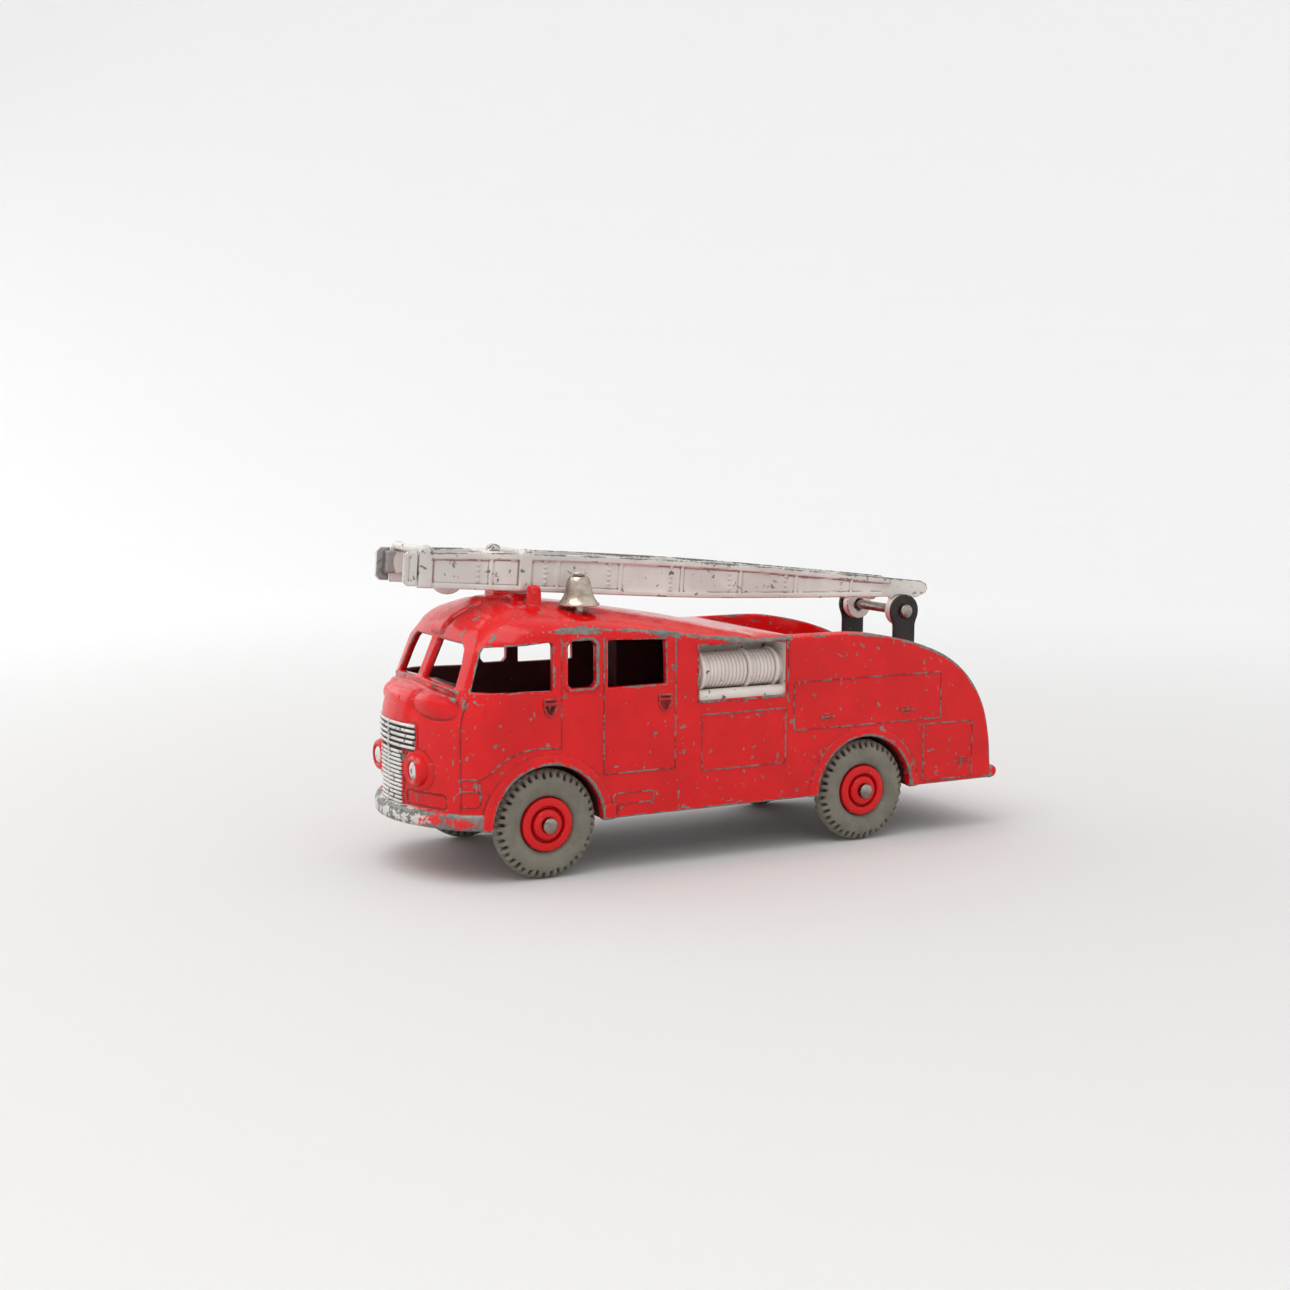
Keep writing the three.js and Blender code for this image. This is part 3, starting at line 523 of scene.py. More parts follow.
GUTTER = spline([
    (72, 47.4), (56, 48.6), (46, 49.3), (30, 49.1), (20, 48.4), (10, 47.1), (0, 46.0), (-12, 45.6),
    (-72, 46.6),
])
CROWN = spline([
    (72, 54.6), (56, 54.6), (41, 54.5), (30, 53.5), (18, 51.6), (6, 49.6), (-4, 47.6), (-14, 46.6),
    (-72, 47.4),
])
TAIL = spline([
    (-10, 47.2), (-20, 46.6), (-29, 46.2), (-38, 44.9), (-47, 42.7), (-55, 39.4), (-61, 34.6),
    (-65.2, 28), (-67.2, 20), (-67.8, 11),
])
# height, furthest X on the centre line, bow in plan, where the corner begins, how far it runs back
FRONT = np.array([
    (0, 67.3, 0.018, 19.4, 7), (31, 67.3, 0.018, 19.4, 7), (33.5, 67.0, 0.018, 19.4, 7),
    (36, 66.2, 0.018, 19.4, 7), (37.4, 64.7, 0.016, 19.4, 7), (38.2, 61.6, 0.007, 18.6, 7),
    (46, 58.2, 0.006, 17.6, 8), (48, 57.4, 0.008, 16, 9), (49.8, 56.6, 0.010, 14, 11),
    (51.4, 54.6, 0.011, 12.5, 13), (52.6, 52.2, 0.012, 11, 14), (53.6, 49.6, 0.012, 10, 14),
    (60, 44, 0.012, 10, 14),
])
FRONT_Z = np.arange(0, 60, 0.1)
FRONT_SMOOTH = [smoothed(np.interp(FRONT_Z, FRONT[:, 0], FRONT[:, i]), 9) for i in range(1, 5)]


def nose_x(y, z):
    """X of the front surface at a distance y from the centre line and a height z."""
    front, bow, corner, run = (np.interp(z, FRONT_Z, values) for values in FRONT_SMOOTH)
    y = np.abs(y)
    flat = front - bow * np.minimum(y, corner) ** 2
    turn = np.clip((y - corner) / (SIDE - corner), 0, 0.995)
    softness = np.interp(z, [47, 51], [1.0, 1.6])
    return flat - run * (1 - (1 - turn ** softness) ** 0.6) - np.maximum(y - SIDE, 0) * 4


def front_field(x, y, z):
    yy, zz = y[0], z[0]
    place = nose_x(yy, zz)
    slope_y, slope_z = np.gradient(place, yy[1, 0] - yy[0, 0], zz[0, 1] - zz[0, 0])
    scale = np.sqrt(1 + np.minimum(slope_y ** 2, 9) + np.minimum(slope_z ** 2, 16))
    return ((x - place[None]) / scale[None]).astype(np.float32)


def roof_height(x, y):
    gutter, crown = height_on(GUTTER, x), height_on(CROWN, x)
    across = np.clip(y / SIDE, 0, 1) ** 2.2
    return gutter + (crown - gutter) * (1 - np.minimum(across, 0.9999)) ** 0.6


def roof_field(x, y, z):
    height = roof_height(x, y)
    slope = np.gradient(height[:, :, 0], y[0, 1, 0] - y[0, 0, 0], axis=1)[:, :, None]
    return ((z - height) / np.sqrt(1 + np.minimum(slope ** 2, 9))).astype(np.float32)


def tail_field(x, z):
    points = [(76, 5), (76, 74), (-10, 74), *TAIL, (-67.8, 5)]
    return outline(x, z, points)


def deck_field(x, y, z):
    ramp_line = [(-8, 60), (-8, 47.3), (-15, 45.9), (-21, 44.2), (-26, 42.2), (-31, 40.2), (-36, DECK_Z),
                 (-60, DECK_Z), (-60, 60)]
    return common(outline(x, z, ramp_line), y - DECK_HALF, 0.6)


WINDOWS = [
    [(57.9, 38.3), (56.6, 42.3), (55.3, 45.9), (54.6, 46.7), (42.4, 47.6), (41.9, 47.1), (41.8, 37.9)],
    [(33.2, 38.2), (37.8, 38.2), (38.6, 39.1), (38.6, 46.7), (37.8, 47.6), (33.2, 47.6),
     (32.4, 46.7), (32.4, 39.1)],
    [(16.3, 37.9), (29.6, 37.9), (29.6, 47.4), (16.6, 46.9)],
]
PANE = [(1.5, 39.4), (15.3, 38.6), (14.6, 43), (13.6, 45.9), (12.2, 46.9), (1.7, 47.1)]


def openings_cut(body, x, y, z):
    rim = np.abs(outline(x, z, WINDOWS[1]) - 0.3) - 0.4
    body = join(body, common(rim, slab(y, SIDE - 0.8, SIDE + 0.3), 0.2), 0.2)
    for points in WINDOWS:
        body = cut(body, outline(x, z, points), 0.3)
    body = cut(body, common(outline(y, z, PANE), 50 - x), 0.4)
    reel_hole = block(x, y, z, (REEL["x0"], REEL["back"], REEL["z0"]), (REEL["x1"], 30, REEL["z1"]))
    return cut(body, reel_hole, 0.4)


def arches(body, x, y, z):
    for place in WHEEL_X.values():
        radius = np.hypot(x - place, z - RADIUS)
        sides = np.maximum(np.abs(x - place) - ARCH["well"], z - RADIUS)
        well = np.minimum(radius - ARCH["well"], sides)
        tub = common(common(radius - ARCH["tub"], slab(y, 15.0, SIDE - 0.4)), SILL - z)
        wing = common(common(radius - ARCH["wing"], slab(y, SIDE - 1.2, SIDE + 0.22), 0.5), SILL - z)
        lip = common(common(radius - ARCH["lip"], slab(y, SIDE - 1.2, SIDE + 0.5), 0.4), SILL - z)
        body = join(join(join(body, tub, 0.3), wing, 0.3), lip, 0.4)
        foot = block(x, y, z, (place - 14.9, SIDE - 1, SILL), (place - 12.3, SIDE + 0.5, SILL + 3.1), 0.4)
        if place > 0:
            body = join(body, foot, 0.2)
        body = cut(body, common(well, 16.2 - y), 0.4)
    return body


def cowl_lip(x, y, z, height, droop, radius):
    """A bead below the windscreen that sinks towards the sides."""
    level = height - droop * y[0] ** 2
    edge_x = nose_x(y[0], level)[None] - radius * 0.5
    return common(np.hypot(x - edge_x, z - level[None]) - radius, y - 17.4)


def front_details(body, x, y, z, front):
    tilted = z - 35.6 + 0.16 * (y - 12.2)
    oval = (np.hypot((y - 12.5) / 6.3, tilted / 2.9) - 1) * 2.9
    body = cut(body, common(oval, -0.45 - front), 1.1)
    hood = common(common(front - 0.4, slab(z, 30.6, 38.0), 1.2), y - 6.9, 1.2)
    body = join(body, common(hood, 55 - x), 0.8)
    bulge = (norm((front + 1.2) / 1.8, (y - 12.3) / 5.8, tilted / 2.4) - 1) * 1.8
    body = join(body, common(bulge, 58 - x), 1.0)
    body = join(body, cowl_lip(x, y, z, 39.0, 0.0035, 0.5), 0.2)
    body = join(body, cowl_lip(x, y, z, 38.0, 0.0050, 0.5), 0.2)
    apron = common(common(slab(y, 6.2, 16.9), slab(z, 14.6, 17.8), 1.2), -0.35 - front)
    body = cut(body, apron, 0.3)
    lamp_ring = common(disc(y, z, LAMP["y"], LAMP["z"], 4.15), common(front - 0.45, 60 - x), 0.6)
    body = join(body, lamp_ring, 0.3)
    wide = common(slab(z, GRILLE["step"], GRILLE["top"]), y - GRILLE["wide"])
    narrow = common(slab(z, 13.5, GRILLE["step"] + 1), y - GRILLE["narrow"])
    frame_part = common(common(join(wide, narrow), front - 0.3), 60 - x)
    return join(body, frame_part, 0.2)


def roof_details(body, x, y, z, outer):
    spine = common(common(common(outer - 0.5, y - 3.2, 0.6), slab(x, 43, 62)), 48.4 - z)
    body = join(body, spine, 0.5)
    slope_top = z - (55.25 + (x - 30) * 1.5 / 22)
    saddle = outline(y, z, [(-9, 50), (9.6, 50), (6.2, 57), (-9, 57)])
    saddle = common(common(saddle, slab(x, 37.2, 43.4), 0.7), slope_top, 0.6)
    body = join(body, saddle, 0.9)
    taper = POST["radius"] + 0.25 - 0.05 * (z - 54)
    post = common(np.hypot(x - POST["x"], y - POST["y"]) - taper, slab(z, 49, POST["top"]), 1.3)
    return join(body, post, 0.9)


def body_field(x, y, z):
    front = front_field(x, y, z)
    outer = common(front, roof_field(x, y, z), 1.6)
    outer = common(outer, y - SIDE, 0.5)
    outer = common(outer, tail_field(x, z), 0.8)
    deck = deck_field(x, y, z)
    cavity = cut(outer + WALL, deck - WALL)
    body = cut(common(outer, SILL - z), cavity, 0.2)
    locker = block(x, y, z, (REEL["x0"] - WALL, REEL["back"] - WALL, REEL["z0"] - WALL),
                   (REEL["x1"] + WALL, SIDE - 0.2, REEL["z1"] + 0.4))
    body = join(body, common(locker, outer + 0.2))
    body = front_details(body, x, y, z, front)
    body = roof_details(body, x, y, z, outer)
    body = arches(body, x, y, z)
    body = openings_cut(body, x, y, z)
    step = common(disc(x, z, BODY_LOW[0] + 1.4, SILL + 1.4, 1.4), y - SIDE, 0.5)
    body = join(body, step, 0.5)
    return cut(body, deck, 0.4)


def near(distance, width):
    return np.exp(-(distance / width) ** 2)


def body_wear(x, y, z):
    """Extra rubbing along the gutter, the tail edge, the arch lips and the front corners."""
    y = np.abs(y)
    gutter = near(z - height_on(GUTTER, x) - 0.4, 1.0) * near(y - SIDE, 1.8) * (x > -14)
    patches = 0.75 + 0.25 * np.sin(x * 0.35 + 1.0)
    tail = near(np.abs(tail_field(x, z)), 0.7) * near(y - SIDE, 0.7) * (x < -12)
    wear = 0.26 * gutter * patches + 0.20 * tail
    for place in WHEEL_X.values():
        lip = near(np.hypot(x - place, z - RADIUS) - 12.4, 0.8) * (y > SIDE - 0.4)
        wear += 0.04 * lip * (z > SILL)
    corner = near(y - FRONT[0, 3] - 0.4, 1.2) * (x > 58) * (z < 44)
    pillar = near(y - 18.2, 1.6) * (x > 53) * (z > 37) * (z < 49)
    sill = near(z - SILL, 0.5) * (y > SIDE - 0.6)
    return wear + 0.09 * corner + 0.03 * pillar + 0.14 * sill


def in_box(places, low, high):
    return np.all((places > np.array(low)) & (places < np.array(high)), axis=1)


def inside_faces(centre):
    """Faces of the cab and body cavity, deeper than the wall is thick."""
    x, y, z = centre.T
    under_roof = z < roof_height(x, y) - 1.1
    behind_front = x < nose_x(y, z) - 1.3
    deck_floor = np.interp(x, [-36, -31, -26, -21, -15, -8], [DECK_Z, 40.2, 42.2, 44.2, 45.9, 47.3])
    under_deck = (z < deck_floor - 0.9) | (x > -9) | (y > DECK_HALF + 0.9)
    in_tail = z < height_on(TAIL[::-1], x) - 1.1
    return under_roof & behind_front & under_deck & in_tail & (y < SIDE - 1.1) & (z > SILL + 0.3)


def make_body():
    step = 0.25
    low = (BODY_LOW[0] - 1, 0, SILL - 1)
    high = (BODY_HIGH[0] - 0.5, BODY_HIGH[1] + 1, BODY_HIGH[2] + 1)
    body = sculpt("body_shell", low, high, step, body_field, adaptivity=0.02, reach=0.5, wear=body_wear)
    dress(body, RED, "body", "red_enamel", "body_casting")
    for material in (REEL_SILVER, SHADOW, INSIDE_SHADE):
        body.data.materials.append(material)
    count = len(body.data.polygons)
    centre = np.zeros(count * 3, np.float32)
    body.data.polygons.foreach_get("center", centre)
    centre = centre.reshape(-1, 3) / MM
    centre[:, 1] = np.abs(centre[:, 1])
    slot = np.zeros(count, np.int32)
    reel = in_box(centre, (REEL["x0"] - 0.3, REEL["back"] - 0.4, REEL["z0"] - 0.3),
                  (REEL["x1"] + 0.3, SIDE - 0.5, REEL["z1"] + 0.3))
    wide = in_box(centre, (60, -1, GRILLE["step"]), (70, GRILLE["wide"] - 0.3, GRILLE["top"] - 0.2))
    narrow = in_box(centre, (60, -1, 14.2), (70, GRILLE["narrow"] - 0.2, GRILLE["step"]))
    slot[reel] = 1
    slot[wide | narrow] = 2
    # Faces deep inside the cab and body take the dark painted shade.
    slot[inside_faces(centre) & ~reel] = 3
    body.data.polygons.foreach_set("material_index", slot)
    return body


def make_bumper():
    def field(x, y, z):
        across = np.linspace(0, 20, 17)
        plan = [(BODY_HIGH[0] - BUMPER_BOW * t * t, t) for t in across]
        points = [(58, 0), *plan, (57, 22.6), (55.3, 23.1), (55.3, 17), (58, 15)]
        level = (z - (SILL + BUMPER_TOP) / 2) / ((BUMPER_TOP - SILL) / 2)
        crown = 0.35 * np.clip(level, -1.2, 1.2) ** 2
        return common(outline(x, y, points) + crown, slab(z, SILL, BUMPER_TOP), 0.9)
    piece = sculpt("bumper", (51, 0, SILL - 0.6), (BODY_HIGH[0] + 0.6, 24, BUMPER_TOP + 0.6), 0.2, field)
    return dress(piece, BUMPER, "body", "silver_paint")


# ---- raised lines and small fittings on the sides ----

def both_sides(points):
    return [np.array([(x, side * y, z) for x, y, z in points]) for side in (1, -1)]


def ring(x0, x1, z0, z1, r=0.25):
    """A closed rectangle with cut corners."""
    return [(x0 + r, z0), (x1 - r, z0), (x1, z0 + r), (x1, z1 - r), (x1 - r, z1), (x0 + r, z1),
            (x0, z1 - r), (x0, z0 + r), (x0 + r, z0)]


def dense(points, gap=0.8):
    """The same line with a point at least every gap."""
    result = [points[0]]
    for a, b in zip(points, points[1:]):
        a, b = np.array(a, float), np.array(b, float)
        count = max(1, int(np.linalg.norm(b - a) / gap))
        result += [tuple(a + (b - a) * i / count) for i in range(1, count + 1)]
    return result


WING = spline([(57.2, 21.3), (55.6, 22.2), (53.6, 23.9), (51.4, 25.3), (48.2, 26.4), (43.9, 26.6),
               (40, 26.4)], 6)
REAR_WING = [(WHEEL_X["rear"] + 14.3 * math.sin(t), RADIUS + 13.7 * math.cos(t))
             for t in np.linspace(-1.35, 1.35, 30)]
SHIELD = [(-1.5, 1.8), (1.5, 1.8), (1.5, -0.2), (0.8, -1.5), (0, -2.0), (-0.8, -1.5), (-1.5, -0.2)]
LOCKER = [(x, z) for x in (REEL["x0"] - 0.5, REEL["x1"] + 0.5)
          for z in (REEL["z0"] - 0.4, REEL["z1"] + 0.3)]
SIDE_LINES = [
    [(40, 48.4), (40, 26.4)],
    [(30.6, 47.9), (30.6, 20.3)],
    [(30.6, 20.3), (14.2, 20.3)],
    [(14.2, 20.3), (14.2, 46.7)],
    WING,
    REAR_WING,
    ring(-12.5, 7.9, 19.1, 30.8),
    ring(-53.1, -14.6, 25.8, 36.1),
    ring(-62.1, -48.6, 11.9, 24.6),
    ring(19.2, 28.4, 13.9, 16.1, 0.5),
    [(60.3, 21.3), (57.2, 21.3), (57.0, 16.3), (57.6, 15.8), (60.3, 15.8)],
    [(60.3, 18.9), (57.0, 18.9)],
    *[(LOCKER[a], LOCKER[b]) for a, b in ((0, 2), (1, 3), (0, 1), (2, 3))],
]


def side_depth(x):
    """How far the front corner draws the side in from its full width."""
    ys = np.linspace(CREASE, SIDE, 80)
    xs = nose_x(ys, 20.0)
    return np.interp(x, xs[::-1], ys[::-1])


def make_side_lines():
    parts = []
    for points in SIDE_LINES:
        places = [(x, side_depth(x) - 0.02, z) for x, z in dense([tuple(p) for p in points])]
        parts += [bead("line", path, 0.19) for path in both_sides(places)]
    corner = [(nose_x(CREASE + 0.1, z) - 0.05, CREASE + 0.1, z) for z in np.linspace(15, 37, 40)]
    parts += [bead("line", path, 0.22, 0.1) for path in both_sides(corner)]
    # The lines take the darker red: painted shade.
    return dress(merged("side_lines", parts), RED_LINE_SHADE, "body", "red_enamel")


def make_handles():
    """Shield-shaped cups with a grip bar across them, and plain grips on the lockers."""
    def shield(x, y, z):
        body = common(outline(x, z, SHIELD) - 0.05, slab(y, -0.4, 0.38), 0.15)
        body = cut(body, common(outline(x, z, SHIELD) + 0.42, -y), 0.1)
        bar = common(np.hypot(z - 0.75, y - 0.25) - 0.33, slab(x, -1.35, 1.35), 0.1)
        return join(body, bar, 0.1)

    def grip(x, y, z):
        bar = common(np.hypot(z, y - 0.15) - 0.35, slab(x, -1.7, 1.7), 0.2)
        stalk = common(slab(x, -0.6, 0.6), slab(y, -0.4, 0.12))
        return join(bar, common(slab(z, -0.75, 0.75), stalk, 0.1), 0.1)

    parts = []
    for shape, reach, places in ((shield, (1.9, 0.7, 2.4), [(42.5, 34.7), (16.7, 34.0)]),
                                 (grip, (2.1, 0.7, 1.0), [(-23, 28.2), (-44, 28.3), (-59.5, 15.7)])):
        low, high = [-c for c in reach], reach
        for x, z in places:
            for side in (1, -1):
                part = sculpt("handle", low, high, 0.09, shape, mirror=False, reach=0.25)
                if side < 0:
                    part.data.transform(Matrix.Scale(-1, 4, (0, 1, 0)))
                    part.data.flip_normals()
                part.data.transform(Matrix.Translation(Vector((x, side * SIDE, z)) * MM))
                parts.append(part)
    # The handles take the darker red: painted shade in the cups.
    return dress(merged("handles", parts), HANDLE_SHADE, "body", "red_enamel")


def make_grille():
    parts = []
    for count, start, pitch, half, steps in ((5, GRILLE["step"] + 0.65, 1.1, GRILLE["wide"], 21),
                                             (13, 14.9, 0.845, GRILLE["narrow"], 13)):
        for z in start + np.arange(count) * pitch:
            ys = np.linspace(0.3 - half, half - 0.3, steps)
            parts.append(bead("bar", [(nose_x(y, z) + 0.4, y, z) for y in ys], 0.34, 0.1))
    spine_line = [(nose_x(0.0, z) + 0.55, 0, z) for z in np.linspace(14.6, 30.6, 24)]
    parts.append(bead("bar", spine_line, 0.22, 0.3))
    return dress(merged("grille_bars", parts), GRILLE_SILVER, "body", "silver_paint")


def make_lamps():
    pods, lenses = [], []
    start = nose_x(LAMP["y"], LAMP["z"]) - 1.2
    for side in (1, -1):
        centre = (start, side * LAMP["y"], LAMP["z"])
        profile = [(0, 0), (3.35, 0), (3.3, 1.7), (2.9, 2.45), (2.25, 2.6), (1.95, 2.2), (0, 2.2)]
        pods.append(turned("lamp", profile, centre, (1, 0, 0), 48, 0.35))
        lens = [(0, 1.6), (1.75, 1.6), (1.8, 2.2), (1.3, 2.5), (0.7, 2.62), (0, 2.66)]
        lenses.append(turned("lens", lens, centre, (1, 0, 0), 40, 0.3))
    dress(merged("lamp_pods", pods), RED, "body", "red_enamel")
    dress(merged("lamp_lenses", lenses), GRILLE_SILVER, "body", "silver_paint")


def make_reels():
    """A ribbed drum between two flanges in each locker, over a rounded guide."""
    parts = []
    ends = REEL["x0"] - 0.2, REEL["x1"] + 0.2
    for side in (1, -1):
        profile = [(0, ends[0]), (3.4, ends[0])]
        for flange, ribs, pitch in ((REEL["x0"] + 1.2, 6, 0.9), (REEL["x0"] + 8.0, 11, 0.9)):
            profile += [(3.4, flange), (4.25, flange + 0.05), (4.25, flange + 0.75), (3.4, flange + 0.8)]
            for i in range(ribs):
                x = flange + 0.95 + i * pitch
                profile += [(3.62, x), (3.85, x + 0.25), (3.85, x + 0.5), (3.62, x + 0.75)]
        x = REEL["x1"] - 1.9
        profile += [(3.4, x), (4.25, x + 0.05), (4.25, x + 0.85), (3.4, x + 0.9), (3.4, ends[1]),
                    (0, ends[1])]
        centre = (0, side * REEL["y"], REEL["z"])
        parts.append(turned("reel", profile, centre, (1, 0, 0), 40, 0.12))
        guide = [(0, ends[0]), (1.4, ends[0]), (1.4, ends[1]), (0, ends[1])]
        parts.append(turned("guide", guide, (0, side * 20.6, REEL["z0"] + 0.5), (1, 0, 0), 24, 0.2))
    return dress(merged("hose_reels", parts), REEL_SILVER, "body", "silver_paint")


# ---- wheels ----

def make_tyre(name, x, side):
    inner, outer = (corner[1] for corner in node_box("front_left_tyre"))
    middle, half = (inner + outer) / 2, (outer - inner) / 2
    blocks = 40

    def field(u, y, v):
        radius = np.hypot(u, v)
        around = np.arctan2(v, u) * blocks / (2 * math.pi)
        middle_radius = (RADIUS + 5.4) / 2
        across, along = np.abs(radius - middle_radius) / (RADIUS - middle_radius), np.abs(y) / half
        tyre = ((across ** 2.2 + along ** 2.2) ** (1 / 2.2) - 1) * half
        gap = np.abs(np.mod(around, 1) - 0.5) * 2 * math.pi * RADIUS / blocks
        depth = RADIUS - 1.6 - 0.25 * np.sin(around * 2.1)
        notch = common(common(gap - 0.36, depth - radius, 0.3), 0.7 - np.abs(y), 0.2)
        tyre = cut(tyre, notch, 0.4)
        tyre = cut(tyre, common(slab(y, -0.18, 0.18), (RADIUS - 0.35) - radius), 0.1)
        return cut(tyre, radius - 5.55)

    reach = RADIUS + 0.4
    step = 0.16
    piece = sculpt(name, (-reach, -half - 0.4, -reach), (reach, half + 0.4, reach), step, field,
                   adaptivity=0.03, mirror=False, reach=0.35)
    piece.data.transform(Matrix.Translation(Vector((x, side * middle, RADIUS)) * MM))
    return piece


def pin_profile(half, end):
    """A pin with the same head at both ends; end is radius and distance in from the tip."""
    first = [(radius, inset - half) for radius, inset in end]
    return first + [(radius, -height) for radius, height in first[::-1]]


def make_wheels():
    inner, outer = (corner[1] for corner in node_box("front_left_hub"))
    profile = [(1.5, inner), (5.4, inner), (5.45, outer - 0.75), (5.1, outer - 0.5), (4.1, outer - 0.42),
               (3.75, outer - 0.55), (3.65, outer - 1.5), (3.2, outer - 1.5), (3.1, outer - 0.55),
               (2.7, outer - 0.15), (2.0, outer), (1.5, outer - 0.05), (1.5, inner)]
    for end, x in WHEEL_X.items():
        for hand, side in (("left", 1), ("right", -1)):
            body = f"{end}_{hand}_wheel"
            node = f"{end}_{hand}_tyre"
            dress(make_tyre(node + "_look", x, side), RUBBER, body, "grey_rubber", node)
            hub = turned(f"{end}_{hand}_hub_look", profile, (x, 0, RADIUS), (0, side, 0), 72, 0.2)
            dress(hub, RED, body, "red_enamel", f"{end}_{hand}_hub")
        end_profile = [(0, 0), (0.9, 0.05), (1.55, 0.5), (1.6, 0.95), (1.15, 1.0)]
        rod = pin_profile(AXLE_END, end_profile)
        axle = turned(f"{end}_axle_look", rod, (x, 0, RADIUS), (0, 1, 0), 32, 0.12)
        dress(axle, STEEL, "body", "bright_steel", f"{end}_axle")


# ---- bell, bracket, base ----

def make_bell():
    low, high = node_box("bell")
    centre = ((low[0] + high[0]) / 2, (low[1] + high[1]) / 2, low[2])
    rim, height = (high[0] - low[0]) / 2, high[2] - low[2]
    outside = spline([(rim, 0.25), (rim - 0.55, 0.75), (rim - 1.3, 2.0), (rim - 1.7, 3.6),
                      (rim - 1.95, 4.8), (rim - 2.35, 5.6), (1.5, height)], 5)
    inside = [(1.4, height - 0.5), (rim - 2.6, height - 1.0), (rim - 2.3, 3.6), (rim - 1.9, 2.0),
              (rim - 1.1, 0.7), (rim - 0.55, 0.0), (rim - 0.1, 0.0), (rim, 0.25)]
    profile = [*map(tuple, outside), *inside]
    bell = turned("bell_look", profile, centre, (0, 0, 1), 64, 0.08)
    dress(bell, BELL_METAL, "body", "bell_metal", "bell")
    start, top = (corner[2] for corner in node_box("bell_rivet"))
    rivet = [(0, start), (1.0, start), (1.0, top - 0.6), (1.7, top - 0.6),
             (1.65, top - 0.3), (1.1, top - 0.05), (0.55, top), (0.35, top - 0.25), (0, top - 0.3)]
    head = turned("bell_rivet_look", rivet, (centre[0], centre[1], 0), (0, 0, 1), 32, 0.12)
    dress(head, BELL_METAL, "body", "bell_metal", "bell_rivet")


def make_bracket():
    px, pz = PIVOT[0], PIVOT[2]

    def field(x, y, z):
        stem = common(slab(x, px - 2.9, px + 2.9), slab(z, ARM_LOW[2], pz))
        arm = join(disc(x, z, px, pz, 3.75), stem, 0.8)
        arm = common(arm, slab(y, ARM_HIGH[1] - 0.9, ARM_HIGH[1]), 0.25)
        foot = block(x, y, z, (px - 2.9, -3, ARM_LOW[2]), (px + 2.9, ARM_HIGH[1], ARM_LOW[2] + 0.9), 0.25)
        return cut(join(arm, foot, 0.5), disc(x, z, px, pz, PIN_HOLE) + 0 * y, 0.1)

    low = (ARM_LOW[0] - 0.5, 0, ARM_LOW[2] - 0.5)
    high = (ARM_HIGH[0] + 0.5, ARM_HIGH[1] + 0.5, ARM_HIGH[2] + 0.5)
    piece = sculpt("bracket_look", low, high, 0.14, field, adaptivity=0.02, reach=0.4)
    dress(piece, BLACK, "body", "black_enamel", "ladder_bracket")
    pin = pin_profile(PIN_END, [(0, 0), (0.8, 0.02), (1.45, 0.3), (1.6, 0.8), (1.05, 0.82)])
    look = turned("ladder_pin_look", pin, (px, 0, pz), (0, 1, 0), 32, 0.15)
    dress(look, STEEL, "body", "bright_steel", "ladder_pin")


def make_rivets():
    for name in ("base_rivet_front", "base_rivet_rear", "bracket_rivet"):
        low, high = node_box(name)
        flip = name != "bracket_rivet"
        length = high[2] - low[2]
        x = (low[0] + high[0]) / 2
        profile = [(0, 0), (0.9, 0.02), (1.7, 0.25), (2.2, 0.75), (2.2, 0.8), (1.0, 0.82),
                   (1.0, length), (0, length)]
        base = low[2] if flip else high[2]
        look = turned(name + "_look", profile, (x, 0, base), (0, 0, 1 if flip else -1), 32, 0.12)
        dress(look, STEEL, "body", "bright_steel", name)


def make_base():
    """A pressed sheet with two stiffening grooves underneath."""
    low, high = node_box("base_plate")
    clear = 13.55

    def field(x, y, z):
        half = np.where(np.abs(x - WHEEL_X["front"]) < clear, 14.6, 20.8)
        half = np.where(np.abs(x - WHEEL_X["rear"]) < clear, 14.6, half)
        half = np.where(x > WHEEL_X["front"] - clear, 14.6, half)
        plan = common(y - half, slab(x, low[0], high[0]), 1.5)
        sheet = common(plan, slab(z, low[2], high[2]), 0.2)
        rib = common(np.hypot(y - 7.5, z - low[2] + 0.5) - 1.0, slab(x, low[0] + 16, high[0] - 16), 0.8)
        return cut(sheet, rib, 0.3)

    start, end = (low[0] - 0.6, 0, low[2] - 0.5), high + (0.6, 0.6, 0.5)
    piece = sculpt("base_look", start, end, 0.2, field, adaptivity=0.02, reach=0.5)
    return dress(piece, BLACK, "body", "black_enamel", "base_plate")


# ---- ladders, drawn along the ladder from the pivot pin ----

LADDER_TOP = spline([(116.6, 8.7), (92, 9.35), (53, 9.15), (20, 8.0), (-5.6, 6.9)], 12)
LADDER_BOTTOM = spline([(-4.8, 3.0), (6.5, 2.85), (30, 2.0), (55, 1.4), (90, 1.6), (116.6, 1.7)], 10)
RUNG_STEP = 7.25
RIBS = [103.0, 88.2, 73.6, 58.9, 44.4, 30.1, 15.4]
COLLARS = [(113.7, 116.6, 9.8), (92.2, 95, 9.9)]    # start, end and top


def on_ladder(piece):
    turn = Matrix.Rotation(-PITCH, 4, "Y")
    piece.data.transform(Matrix.Translation(Vector(PIVOT) * MM) @ turn)
    return piece


